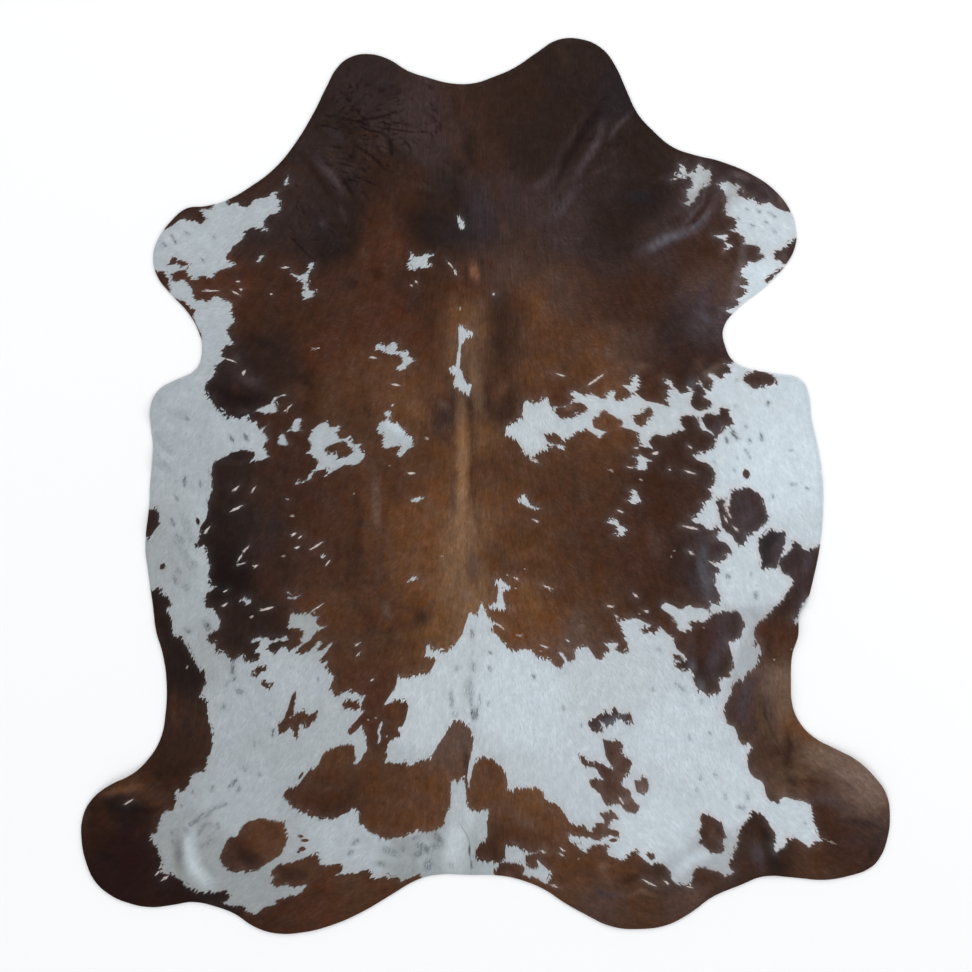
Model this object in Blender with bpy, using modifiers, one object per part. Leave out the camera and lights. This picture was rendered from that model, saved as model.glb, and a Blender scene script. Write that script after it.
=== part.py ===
"""Cowhide rug: one whole hide, hair side up, lying flat on a floor, with low swells and a thinner rim.

The neck points to +Y. The underside rests on Z = 0 wherever the hide isn't lifted by a fold.
"""

import math

import bpy
from mathutils.geometry import delaunay_2d_cdt

# Driving sizes, in metres
LENGTH = 2.300
WIDTH = 2.076
THICKNESS = 0.0050
RIM_THICKNESS = 0.0026
RIM_WIDTH = 0.016
MESH_PITCH = 0.038
STEPS_PER_STATION = 3
CM = 0.01
MM = 0.001

# Colour of the whole hide at a glance, linear red, green, blue, alpha
HIDE_COLOUR = (0.072, 0.034, 0.021, 1.0)
HIDE_ROUGHNESS = 0.62
HIDE_METALLIC = 0.0

# The cut edge, walked from the notch of the neck down the left side and up the right side.
# Columns: x, y in centimetres from the middle of the hide.
NECK_LEFT = (
    (-3.0, 103.3),
    (-9.0, 103.3),
    (-15.0, 104.8),
    (-20.0, 106.5),
    (-25.0, 109.5),
    (-30.3, 110.8),
    (-35.0, 109.8),
    (-38.2, 107.0),
    (-40.4, 103.0),
    (-44.0, 95.7),
    (-49.0, 87.5),
    (-54.0, 81.5),
)
FORELEG_LEFT = (
    (-60.0, 76.9),
    (-66.5, 73.2),
    (-72.0, 71.7),
    (-76.5, 71.2),
    (-80.3, 68.2),
    (-84.0, 63.0),
    (-85.1, 58.8),
    (-84.0, 53.8),
    (-80.5, 49.3),
    (-76.2, 44.6),
    (-73.3, 39.3),
    (-72.6, 34.5),
    (-74.2, 29.9),
)
FLANK_LEFT = (
    (-79.0, 27.3),
    (-83.7, 24.6),
    (-85.7, 20.5),
    (-85.7, 15.5),
    (-85.1, 9.5),
    (-85.9, 0.5),
    (-86.1, -5.0),
    (-87.1, -15.5),
    (-86.4, -22.0),
    (-85.2, -30.5),
    (-84.3, -37.5),
    (-82.8, -42.5),
    (-81.7, -50.0),
    (-82.0, -59.0),
    (-83.2, -64.8),
)
HINDLEG_LEFT = (
    (-86.0, -69.7),
    (-90.2, -73.8),
    (-97.0, -77.3),
    (-101.2, -81.0),
    (-103.2, -85.2),
    (-103.5, -90.5),
    (-102.4, -96.3),
    (-100.2, -101.2),
    (-96.5, -104.7),
    (-92.0, -106.8),
    (-86.0, -108.0),
    (-80.0, -107.4),
    (-75.3, -106.7),
    (-69.0, -107.9),
)
RUMP_LEFT = (
    (-64.0, -109.9),
    (-59.5, -112.9),
    (-54.0, -114.7),
    (-47.0, -114.5),
    (-40.0, -112.8),
    (-32.0, -109.4),
    (-24.5, -105.0),
    (-18.0, -101.2),
    (-13.5, -99.8),
    (-4.0, -99.7),
)
RUMP_RIGHT = (
    (4.5, -100.0),
    (10.0, -101.3),
    (15.5, -103.7),
    (20.0, -106.7),
    (25.5, -109.8),
    (32.5, -113.0),
    (40.0, -113.6),
    (46.5, -112.6),
    (52.5, -109.5),
    (58.0, -105.5),
    (65.0, -102.5),
)
HINDLEG_RIGHT = (
    (71.5, -100.1),
    (79.0, -100.4),
    (87.0, -101.0),
    (93.5, -99.9),
    (98.5, -98.0),
    (101.0, -95.4),
    (103.0, -90.2),
    (103.6, -84.8),
    (102.7, -79.2),
    (99.8, -74.9),
    (95.3, -70.6),
    (90.0, -67.7),
    (84.3, -64.7),
    (80.5, -60.8),
)
FLANK_RIGHT = (
    (78.6, -56.3),
    (78.2, -50.0),
    (78.6, -43.0),
    (80.0, -38.5),
    (80.4, -33.3),
    (82.3, -29.6),
    (83.9, -24.0),
    (85.7, -15.0),
    (86.5, -5.0),
    (86.2, 3.5),
    (84.9, 11.0),
    (83.4, 18.0),
    (82.9, 23.0),
    (80.8, 27.2),
    (75.0, 28.7),
)
FORELEG_RIGHT = (
    (68.5, 29.8),
    (63.6, 31.9),
    (61.3, 36.0),
    (60.9, 40.5),
    (64.2, 45.3),
    (72.0, 51.6),
    (76.2, 56.0),
    (79.2, 61.2),
    (79.5, 66.3),
    (77.9, 70.9),
    (74.6, 75.3),
    (69.5, 79.2),
    (60.0, 83.3),
)
NECK_RIGHT = (
    (53.5, 84.9),
    (48.0, 86.9),
    (42.8, 91.2),
    (38.9, 95.6),
    (35.9, 101.9),
    (33.2, 107.8),
    (29.8, 112.2),
    (24.5, 114.6),
    (18.5, 114.4),
    (13.4, 111.3),
    (7.5, 107.3),
    (2.0, 104.9),
)
CUT_EDGE = (
    NECK_LEFT
    + FORELEG_LEFT
    + FLANK_LEFT
    + HINDLEG_LEFT
    + RUMP_LEFT
    + RUMP_RIGHT
    + HINDLEG_RIGHT
    + FLANK_RIGHT
    + FORELEG_RIGHT
    + NECK_RIGHT
)

# Where the hide stands off the floor: each row is one long oval swell, highest along its middle.
# Columns: name, one end x, y, other end x, y, half width, all in centimetres, then height in millimetres.
FOLDS = (
    ("left neck swell", -28.0, 113.0, -38.0, 86.0, 8.5, 8.0),
    ("left neck wrinkle", -20.0, 102.0, -27.0, 80.0, 5.5, 5.0),
    ("right neck swell", 18.0, 116.0, 30.0, 94.0, 8.5, 7.0),
    ("right neck ridge", 38.0, 102.0, 22.0, 74.0, 6.0, 8.0),
    ("left shoulder ridge", -48.0, 92.0, -32.0, 68.0, 6.0, 8.0),
    ("right shoulder ridge, lower", 36.0, 57.0, 59.0, 71.0, 6.5, 8.0),
    ("right shoulder ridge, upper", 50.0, 63.0, 62.0, 84.0, 6.5, 8.0),
    ("left foreleg swell", -86.0, 65.0, -62.0, 54.0, 7.5, 6.0),
    ("right foreleg swell", 66.0, 78.0, 80.0, 55.0, 7.5, 6.0),
    ("left flank edge wave, top", -92.0, 20.0, -75.0, 18.5, 5.5, 6.0),
    ("left flank edge wave, middle", -92.0, 6.5, -76.0, 7.5, 5.0, 6.0),
    ("left flank edge wave, low", -93.0, -9.0, -77.0, -9.5, 6.0, 5.0),
    ("left long fold, upper", -30.0, 16.0, -28.0, -24.0, 8.0, 4.0),
    ("left long fold, lower", -29.0, -12.0, -26.0, -54.0, 8.0, 4.0),
    ("left flank fold", -58.0, 14.0, -55.0, -30.0, 8.0, 5.0),
    ("spine", -5.0, 34.0, -5.5, -36.0, 7.5, 3.5),
    ("right flank fold", 55.0, -6.0, 58.0, -36.0, 7.0, 5.0),
    ("right flank curl", 86.0, -20.0, 79.5, -50.0, 6.0, 8.0),
    ("left shank ridge", -107.0, -81.0, -76.0, -71.0, 6.5, 9.0),
    ("left shank swell", -103.0, -86.0, -88.0, -105.0, 8.0, 6.0),
    ("left hock fold, outer", -84.5, -80.0, -82.0, -108.0, 5.5, 7.0),
    ("left hock fold, inner", -74.0, -82.0, -70.5, -106.0, 5.5, 7.0),
    ("left rump edge", -62.0, -112.0, -28.0, -105.0, 7.5, 6.0),
    ("right rump edge", 24.0, -109.0, 56.0, -106.0, 7.5, 6.0),
    ("right thigh fold", 74.0, -38.0, 77.0, -68.0, 6.5, 6.0),
    ("right shank swell", 80.0, -64.0, 107.0, -83.0, 9.0, 9.0),
    ("right shank fold", 72.0, -66.0, 94.0, -88.0, 5.5, 4.0),
    ("right hock fold", 65.0, -78.0, 77.0, -105.0, 6.0, 7.0),
)


def lift(x, y):
    """Height of the underside above the floor, all sizes in metres."""
    height = 0.0
    for _name, x1, y1, x2, y2, half_width, top in FOLDS:
        half_length = math.hypot(x2 - x1, y2 - y1) / 2
        along_x, along_y = (x2 - x1) / 2 / half_length, (y2 - y1) / 2 / half_length
        from_x, from_y = x / CM - (x1 + x2) / 2, y / CM - (y1 + y2) / 2
        along = (from_x * along_x + from_y * along_y) / half_length
        across = (from_y * along_x - from_x * along_y) / half_width
        away = math.hypot(along, across)
        if away < 1.0:
            height += top * MM * math.cos(away * math.pi / 2) ** 2
    return height


def collection(name):
    made = bpy.data.collections.new(name)
    bpy.context.scene.collection.children.link(made)
    return made


def edge_loop(guides):
    """The cut edge as a smooth closed curve, read back as points that fill LENGTH by WIDTH."""
    curve = bpy.data.curves.new("cut_edge", "CURVE")
    curve.dimensions = "2D"
    curve.fill_mode = "NONE"
    curve.resolution_u = STEPS_PER_STATION
    spline = curve.splines.new("BEZIER")
    spline.bezier_points.add(len(CUT_EDGE) - 1)
    spline.use_cyclic_u = True
    for point, (x, y) in zip(spline.bezier_points, CUT_EDGE):
        point.co = (x * CM, y * CM, 0.0)
        point.handle_left_type = "AUTO"
        point.handle_right_type = "AUTO"
    guide = bpy.data.objects.new("cut_edge", curve)
    guides.objects.link(guide)
    guide.hide_render = True
    guide.display_type = "WIRE"
    bpy.context.view_layer.update()
    points = [(v.co.x, v.co.y) for v in guide.to_mesh().vertices]
    guide.to_mesh_clear()
    left, right = min(x for x, _ in points), max(x for x, _ in points)
    low, high = min(y for _, y in points), max(y for _, y in points)
    wide, long = WIDTH / (right - left), LENGTH / (high - low)
    middle_x, middle_y = (left + right) / 2, (low + high) / 2
    return [((x - middle_x) * wide, (y - middle_y) * long) for x, y in points]


def inner_loop(edge, depth):
    """The edge moved inward by depth, each point square to its two neighbours."""
    moved = []
    for index, (x, y) in enumerate(edge):
        before, after = edge[index - 1], edge[(index + 1) % len(edge)]
        across = math.hypot(after[0] - before[0], after[1] - before[1])
        inward = (-(after[1] - before[1]) / across, (after[0] - before[0]) / across)
        moved.append((x + inward[0] * depth, y + inward[1] * depth))
    return moved


def inside(x, y, loop):
    found = False
    for index, (x1, y1) in enumerate(loop):
        x2, y2 = loop[index - 1]
        if (y1 > y) != (y2 > y) and x < x1 + (y - y1) / (y2 - y1) * (x2 - x1):
            found = not found
    return found


def lattice(loop, pitch):
    """Staggered points inside the loop, none nearer to it than three quarters of the pitch."""
    points = []
    row_height = pitch * math.sqrt(3) / 2
    rows = int(LENGTH / row_height / 2) + 1
    columns = int(WIDTH / pitch / 2) + 1
    for row in range(-rows, rows + 1):
        for column in range(-columns, columns + 1):
            x = (column + 0.5 * (row % 2)) * pitch
            y = row * row_height
            if not inside(x, y, loop):
                continue
            if min(math.hypot(x - a, y - b) for a, b in loop) > 0.75 * pitch:
                points.append((x, y))
    return points


def hide_sheet():
    """The underside as one open surface on the folds, with its full-thickness vertices grouped."""
    edge = edge_loop(collection("guides"))
    rim = inner_loop(edge, RIM_WIDTH)
    flat = edge + rim + lattice(rim, MESH_PITCH)
    count = len(edge)
    ring = [(index, (index + 1) % count) for index in range(count)]
    inner_ring = [(a + count, b + count) for a, b in ring]
    points, _, faces, origins, _, _ = delaunay_2d_cdt(
        flat, ring + inner_ring, [list(range(count))], 1, 1e-6
    )
    mesh = bpy.data.meshes.new("cowhide")
    mesh.from_pydata([(p.x, p.y, lift(p.x, p.y)) for p in points], [], faces)
    hide = bpy.data.objects.new("cowhide", mesh)
    on_edge = [k for k, found in enumerate(origins) if found and min(found) < count]
    thick = hide.vertex_groups.new(name="full_thickness")
    thick.add([k for k in range(len(points)) if k not in set(on_edge)], 1.0, "REPLACE")
    return hide


def hide_material():
    material = bpy.data.materials.new("hide")
    material.use_nodes = True
    surface = material.node_tree.nodes["Principled BSDF"]
    surface.inputs["Base Color"].default_value = HIDE_COLOUR
    surface.inputs["Roughness"].default_value = HIDE_ROUGHNESS
    surface.inputs["Metallic"].default_value = HIDE_METALLIC
    material.diffuse_color = HIDE_COLOUR
    return material


for old in list(bpy.data.objects):
    bpy.data.objects.remove(old, do_unlink=True)

cowhide = hide_sheet()
collection("cowhide_rug").objects.link(cowhide)
cowhide.data.materials.append(hide_material())
solid = cowhide.modifiers.new("thickness", "SOLIDIFY")
solid.thickness = THICKNESS
solid.offset = 1.0
solid.vertex_group = "full_thickness"
solid.thickness_vertex_group = RIM_THICKNESS / THICKNESS
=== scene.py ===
import math

import bpy
import numpy as np
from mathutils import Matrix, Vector
from mathutils.geometry import delaunay_2d_cdt
from mathutils.kdtree import KDTree


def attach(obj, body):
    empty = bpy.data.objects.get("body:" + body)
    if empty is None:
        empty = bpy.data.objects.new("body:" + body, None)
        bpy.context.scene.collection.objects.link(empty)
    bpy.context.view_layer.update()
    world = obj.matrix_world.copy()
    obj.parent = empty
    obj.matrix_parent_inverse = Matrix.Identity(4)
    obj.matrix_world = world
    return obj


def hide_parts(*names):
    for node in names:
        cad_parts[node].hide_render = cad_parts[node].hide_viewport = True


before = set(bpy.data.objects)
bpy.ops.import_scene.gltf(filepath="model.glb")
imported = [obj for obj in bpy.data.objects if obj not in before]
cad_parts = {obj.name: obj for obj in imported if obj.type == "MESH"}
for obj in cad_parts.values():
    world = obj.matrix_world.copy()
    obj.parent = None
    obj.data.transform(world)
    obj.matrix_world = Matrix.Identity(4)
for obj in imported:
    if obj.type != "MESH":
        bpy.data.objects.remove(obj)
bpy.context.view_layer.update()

# ---- The studio ------------------------------------------------------------------------------
# The rug lies on a plain pale floor. The camera hangs straight over its middle and sees the hide
# head up. An even sky and four soft boxes light it, the largest standing beyond the neck.

CAMERA_HEIGHT = 9.0
VIEW_WIDTH = 2.498
CAMERA_ASIDE = 0.0013
SENSOR_WIDTH = 36.0
FLOOR_SIDE = 60.0
FLOOR_GREY = (0.955, 0.96, 0.965, 1.0)
SKY_LOW = (0.95, 0.955, 0.97, 1.0)
SKY_HIGH = (0.50, 0.504, 0.515, 1.0)
# Columns: name, place x, y, z, side of the soft box in metres, watts
SOFT_BOXES = (
    ("beyond_the_neck", 0.9, 4.2, 2.9, 2.4, 76.0),
    ("left_of_the_rug", -4.4, 0.3, 2.7, 1.8, 41.0),
    ("right_of_the_rug", 4.4, 0.6, 2.7, 1.8, 53.0),
    ("before_the_rump", -0.3, -4.4, 2.7, 1.8, 41.0),
)


def seen_from_above():
    camera = bpy.data.cameras.new("camera")
    camera.sensor_width = SENSOR_WIDTH
    camera.lens = SENSOR_WIDTH * CAMERA_HEIGHT / VIEW_WIDTH
    camera.clip_end = 100.0
    hung = bpy.data.objects.new("camera", camera)
    hung.location = (CAMERA_ASIDE, 0.0, CAMERA_HEIGHT)
    bpy.context.scene.collection.objects.link(hung)
    bpy.context.scene.camera = hung


def soft_light():
    for name, x, y, z, side, watts in SOFT_BOXES:
        lamp = bpy.data.lights.new(name, "AREA")
        lamp.size = side
        lamp.energy = watts
        stand = bpy.data.objects.new(name, lamp)
        stand.location = (x, y, z)
        stand.rotation_euler = Vector((-x, -y, -z)).to_track_quat("-Z", "Y").to_euler()
        bpy.context.scene.collection.objects.link(stand)
    sky = bpy.data.worlds.new("studio_sky")
    sky.use_nodes = True
    nodes, links = sky.node_tree.nodes, sky.node_tree.links
    ramp = nodes.new("ShaderNodeValToRGB")
    ramp.color_ramp.elements[0].color = SKY_LOW
    ramp.color_ramp.elements[1].color = SKY_HIGH
    ramp.color_ramp.elements[1].position = 0.9
    direction = nodes.new("ShaderNodeTexCoord")
    upward = nodes.new("ShaderNodeSeparateXYZ")
    links.new(direction.outputs["Generated"], upward.inputs[0])
    links.new(upward.outputs["Z"], ramp.inputs[0])
    links.new(ramp.outputs["Color"], nodes["Background"].inputs["Color"])
    bpy.context.scene.world = sky
    bpy.context.scene.view_settings.view_transform = "Standard"


def studio_floor():
    half = FLOOR_SIDE / 2
    mesh = bpy.data.meshes.new("studio_floor")
    mesh.from_pydata(
        [(-half, -half, 0), (half, -half, 0), (half, half, 0), (-half, half, 0)],
        [],
        [(0, 1, 2, 3)],
    )
    floor = bpy.data.objects.new("studio_floor", mesh)
    bpy.context.scene.collection.objects.link(floor)
    paint = bpy.data.materials.new("pale_floor")
    paint.use_nodes = True
    surface = paint.node_tree.nodes["Principled BSDF"]
    surface.inputs["Base Color"].default_value = FLOOR_GREY
    surface.inputs["Roughness"].default_value = 0.9
    surface.inputs["Specular IOR Level"].default_value = 0.0
    mesh.materials.append(paint)


seen_from_above()
soft_light()
studio_floor()

# ---- The tanned skin -------------------------------------------------------------------------
# One whole hide, tanned with the hair on and cut round by hand: about 2.2 mm of skin, pale and
# matt like suede on the flesh side, lying flat on the floor apart from its low folds.

MM = 0.001
CM = 0.01
SKIN_THICKNESS = 2.2 * MM
SKIN_PITCH = 0.022
SKIN_EDGE_STEP = 0.010
SKIN_CREAM = (0.52, 0.43, 0.32)
SKIN_TAN = (0.36, 0.27, 0.18)
# How far the skin's mesh keeps clear of its edge, as a share of its pitch, and how deep in from
# the edge its first row of points lies
SKIN_CLEAR, SKIN_ROW = 0.6, 3 * MM
# What the cutting of a sheet keeps, all that is inside the ring, and how near points are welded
INSIDE_ONLY, WELD = 1, 1e-6

# Where the hide stands off the floor: each row is one long oval swell, highest along its middle.
# Columns: name, one end x, y, other end x, y, half width, all in centimetres, then height in mm.
FOLDS = (
    ("left neck swell", -28.0, 113.0, -38.0, 86.0, 8.5, 8.0),
    ("left neck wrinkle", -20.0, 102.0, -27.0, 80.0, 5.5, 5.0),
    ("right neck swell", 18.0, 116.0, 30.0, 94.0, 8.5, 7.0),
    ("right neck ridge", 38.0, 102.0, 22.0, 74.0, 6.0, 8.0),
    ("left shoulder ridge", -48.0, 92.0, -32.0, 68.0, 6.0, 8.0),
    ("right shoulder ridge, lower", 36.0, 57.0, 59.0, 71.0, 6.5, 8.0),
    ("right shoulder ridge, upper", 50.0, 63.0, 62.0, 84.0, 6.5, 8.0),
    ("left foreleg swell", -86.0, 65.0, -62.0, 54.0, 7.5, 6.0),
    ("right foreleg swell", 66.0, 78.0, 80.0, 55.0, 7.5, 6.0),
    ("left flank edge wave, top", -92.0, 20.0, -75.0, 18.5, 5.5, 6.0),
    ("left flank edge wave, middle", -92.0, 6.5, -76.0, 7.5, 5.0, 6.0),
    ("left flank edge wave, low", -93.0, -9.0, -77.0, -9.5, 6.0, 5.0),
    ("left long fold, upper", -30.0, 16.0, -28.0, -24.0, 8.0, 4.0),
    ("left long fold, lower", -29.0, -12.0, -26.0, -54.0, 8.0, 4.0),
    ("left flank fold", -58.0, 14.0, -55.0, -30.0, 8.0, 5.0),
    ("spine", -5.0, 34.0, -5.5, -36.0, 7.5, 3.5),
    ("right flank fold", 55.0, -6.0, 58.0, -36.0, 7.0, 5.0),
    ("right flank curl", 86.0, -20.0, 79.5, -50.0, 6.0, 8.0),
    ("left shank ridge", -107.0, -81.0, -76.0, -71.0, 6.5, 9.0),
    ("left shank swell", -103.0, -86.0, -88.0, -105.0, 8.0, 6.0),
    ("left hock fold, outer", -84.5, -80.0, -82.0, -108.0, 5.5, 7.0),
    ("left hock fold, inner", -74.0, -82.0, -70.5, -106.0, 5.5, 7.0),
    ("left rump edge", -62.0, -112.0, -28.0, -105.0, 7.5, 6.0),
    ("right rump edge", 24.0, -109.0, 56.0, -106.0, 7.5, 6.0),
    ("right thigh fold", 74.0, -38.0, 77.0, -68.0, 6.5, 6.0),
    ("right shank swell", 80.0, -64.0, 107.0, -83.0, 9.0, 9.0),
    ("right shank fold", 72.0, -66.0, 94.0, -88.0, 5.5, 4.0),
    ("right hock fold", 65.0, -78.0, 77.0, -105.0, 6.0, 7.0),
)


def raised(points, swells):
    """Height in metres that a table of oval swells adds at each of the points."""
    height = np.zeros(len(points))
    for _name, x1, y1, x2, y2, half_width, top in swells:
        half_length = math.hypot(x2 - x1, y2 - y1) / 2
        along_x, along_y = (x2 - x1) / 2 / half_length, (y2 - y1) / 2 / half_length
        from_x = points[:, 0] / CM - (x1 + x2) / 2
        from_y = points[:, 1] / CM - (y1 + y2) / 2
        along = (from_x * along_x + from_y * along_y) / half_length
        across = (from_y * along_x - from_x * along_y) / half_width
        away = np.minimum(np.hypot(along, across), 1.0)
        height += top * MM * np.cos(away * math.pi / 2) ** 2
    return height


def cut_edge_of(node):
    """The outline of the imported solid's underside, counter-clockwise, as x, y points."""
    corner = [tuple(round(c, 5) for c in v.co) for v in node.data.vertices]
    single = {}
    for face in node.data.polygons:
        if face.normal.z < -0.5:
            ring = [corner[i] for i in face.vertices]
            for a, b in zip(ring, ring[1:] + ring[:1]):
                if single.pop((a, b), None) is None:
                    single[(b, a)] = True
    follows = dict(single.keys())
    start = here = min(follows)
    edge = []
    while not edge or here != start:
        edge.append(here[:2])
        here = follows[here]
    return np.array(edge)


def walked(ring, step):
    """The ring as a smooth closed curve, with a point about every step metres."""
    made = []
    turned = [np.roll(ring, turn, axis=0) for turn in (1, 0, -1, -2)]
    for p0, p1, p2, p3 in zip(*turned):
        count = max(1, round(float(np.hypot(*(p2 - p1))) / step))
        for t in np.arange(count) / count:
            square = (2 * p0 - 5 * p1 + 4 * p2 - p3) * t * t
            cubic = (3 * p1 - p0 - 3 * p2 + p3) * t**3
            made.append((2 * p1 + (p2 - p0) * t + square + cubic) / 2)
    return np.array(made)


def outward(ring):
    """Unit vectors square to a counter-clockwise ring, pointing out of it."""
    along = np.roll(ring, -1, axis=0) - np.roll(ring, 1, axis=0)
    long = np.hypot(along[:, 0], along[:, 1])[:, None]
    return np.column_stack([along[:, 1], -along[:, 0]]) / np.maximum(long, 1e-9)


def within(points, ring):
    """Which of the points lie inside a closed ring."""
    found = np.zeros(len(points), bool)
    near = np.flatnonzero(((points > ring.min(0)) & (points < ring.max(0))).all(1))
    x, y = points[near].T
    inner = np.zeros(len(near), bool)
    for (x1, y1), (x2, y2) in zip(ring, np.roll(ring, -1, axis=0)):
        if y1 != y2:
            inner ^= ((y1 > y) != (y2 > y)) & (x < x1 + (y - y1) * (x2 - x1) / (y2 - y1))
    found[near] = inner
    return found


def tree_of(points):
    tree = KDTree(len(points))
    for index, (x, y) in enumerate(points):
        tree.insert((x, y, 0.0), index)
    tree.balance()
    return tree


def nearest(tree, points):
    """Index of, and distance to, the tree's point nearest to each of the points."""
    found = [tree.find((x, y, 0.0))[1:] for x, y in points]
    return np.array([index for index, _ in found]), np.array([far for _, far in found])


def lattice(ring, pitch):
    """Staggered points inside the ring, a pitch apart."""
    low, high = ring.min(0), ring.max(0)
    rows = np.arange(low[1], high[1], pitch * math.sqrt(3) / 2)
    columns = np.arange(low[0], high[0] + pitch, pitch)
    points = [
        np.column_stack([columns - pitch / 2 * (row % 2), np.full(len(columns), y)])
        for row, y in enumerate(rows)
    ]
    points = np.concatenate(points)
    return points[within(points, ring)]


def cut_sheet(ring, more):
    """A flat sheet of triangles inside the ring, through the points in more. Returns its
    points, its faces, and which point stands at each place of the ring."""
    count = len(ring)
    flat = [tuple(p) for p in ring] + [tuple(p) for p in more]
    edges = [(k, (k + 1) % count) for k in range(count)]
    cut = delaunay_2d_cdt(flat, edges, [list(range(count))], INSIDE_ONLY, WELD)
    points, _, faces, came_from, _, _ = cut
    stands_at = {old: new for new, olds in enumerate(came_from) for old in olds if old < count}
    return np.array([tuple(p) for p in points]), faces, [stands_at[k] for k in range(count)]


def flat_map(mesh, points):
    """A map of the sheet seen from straight above, filling the unit square."""
    low, high = points.min(0), points.max(0)
    where = (points - low) / (high - low)
    corners = np.empty(len(mesh.loops), np.int32)
    mesh.loops.foreach_get("vertex_index", corners)
    sheet_map = mesh.uv_layers.new(name="OFBake")
    sheet_map.data.foreach_set("uv", where[corners].astype(np.float32).ravel())


def in_scene(name, mesh, material):
    piece = bpy.data.objects.new(name, mesh)
    bpy.context.scene.collection.objects.link(piece)
    mesh.materials.append(material)
    mesh.shade_smooth()
    return piece


def cut_skin(ring):
    """The skin as a closed sheet: underside on the folds, top a skin's thickness above it."""
    edge = walked(ring, SKIN_EDGE_STEP)
    inner = lattice(ring, SKIN_PITCH)
    inner = inner[nearest(tree_of(edge), inner)[1] > SKIN_CLEAR * SKIN_PITCH]
    points, faces, rim = cut_sheet(edge, np.concatenate([edge - outward(edge) * SKIN_ROW, inner]))
    under = np.column_stack([points, raised(points, FOLDS)])
    over = under + (0.0, 0.0, SKIN_THICKNESS)
    lower = [tuple(reversed(face)) for face in faces]
    upper = [tuple(k + len(points) for k in face) for face in faces]
    side = [(a, b, b + len(points), a + len(points)) for a, b in zip(rim, rim[1:] + rim[:1])]
    mesh = bpy.data.meshes.new("hide_skin")
    mesh.from_pydata(np.concatenate([under, over]).tolist(), [], lower + side + upper)
    flat_map(mesh, np.concatenate([points, points]))
    return mesh


def suede():
    """Pale suede with darker mottles, a fine nap, and a cut edge of the same skin."""
    material = bpy.data.materials.new("suede")
    material.use_nodes = True
    nodes, links = material.node_tree.nodes, material.node_tree.links
    surface = nodes["Principled BSDF"]
    surface.inputs["Specular IOR Level"].default_value = 0.2
    place = nodes.new("ShaderNodeTexCoord")
    mottle = nodes.new("ShaderNodeTexNoise")
    mottle.inputs["Scale"].default_value = 9.0
    mottle.inputs["Detail"].default_value = 6.0
    nap = nodes.new("ShaderNodeTexNoise")
    nap.inputs["Scale"].default_value = 900.0
    nap.inputs["Detail"].default_value = 3.0
    tint = nodes.new("ShaderNodeValToRGB")
    tint.color_ramp.elements[0].color = (*SKIN_TAN, 1.0)
    tint.color_ramp.elements[0].position = 0.32
    tint.color_ramp.elements[1].color = (*SKIN_CREAM, 1.0)
    tint.color_ramp.elements[1].position = 0.62
    rough = nodes.new("ShaderNodeMapRange")
    rough.inputs["To Min"].default_value = 0.78
    rough.inputs["To Max"].default_value = 0.96
    bump = nodes.new("ShaderNodeBump")
    bump.inputs["Strength"].default_value = 0.5
    bump.inputs["Distance"].default_value = 0.0006
    links.new(place.outputs["Object"], mottle.inputs["Vector"])
    links.new(place.outputs["Object"], nap.inputs["Vector"])
    links.new(mottle.outputs["Fac"], tint.inputs["Fac"])
    links.new(tint.outputs["Color"], surface.inputs["Base Color"])
    links.new(nap.outputs["Fac"], rough.inputs["Value"])
    links.new(rough.outputs["Result"], surface.inputs["Roughness"])
    links.new(nap.outputs["Fac"], bump.inputs["Height"])
    links.new(bump.outputs["Normal"], surface.inputs["Normal"])
    return material


cut_edge = cut_edge_of(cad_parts["cowhide"])
hide_skin = in_scene("hide_skin", cut_skin(cut_edge), suede())
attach(hide_skin, "root")
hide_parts("cowhide")

# ---- The hair coat ---------------------------------------------------------------------------
# Short, close-lying hair on the grain side of the skin, about 3 mm deep. It grows back along the
# spine and down over the flanks and legs, shades in tone from place to place, and parts in
# creases.

# The markings are the cow's own colouring: brown hair shading from near black at the neck to gold
# and tan along the back, with a white belly, white legs and white islands. Every outline is
# charted in centimetres, x to the right and y to the head from the rug's middle; where it leaves
# the hide it runs past it.


def chart(text):
    """The rows of a chart. A line holds a name, a colon and rows divided by semicolons, and one
    that is set in runs on from the line above. A row is made of points x,y and of numbers; this
    gives its name, its points and its numbers."""
    rows = []
    for line in text.strip().replace("\n ", " ").splitlines():
        name, line = line.split(":")
        for row in line.split(";"):
            points = [tuple(map(float, word.split(","))) for word in row.split() if "," in word]
            rows.append((name, points, [float(word) for word in row.split() if "," not in word]))
    return rows


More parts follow.
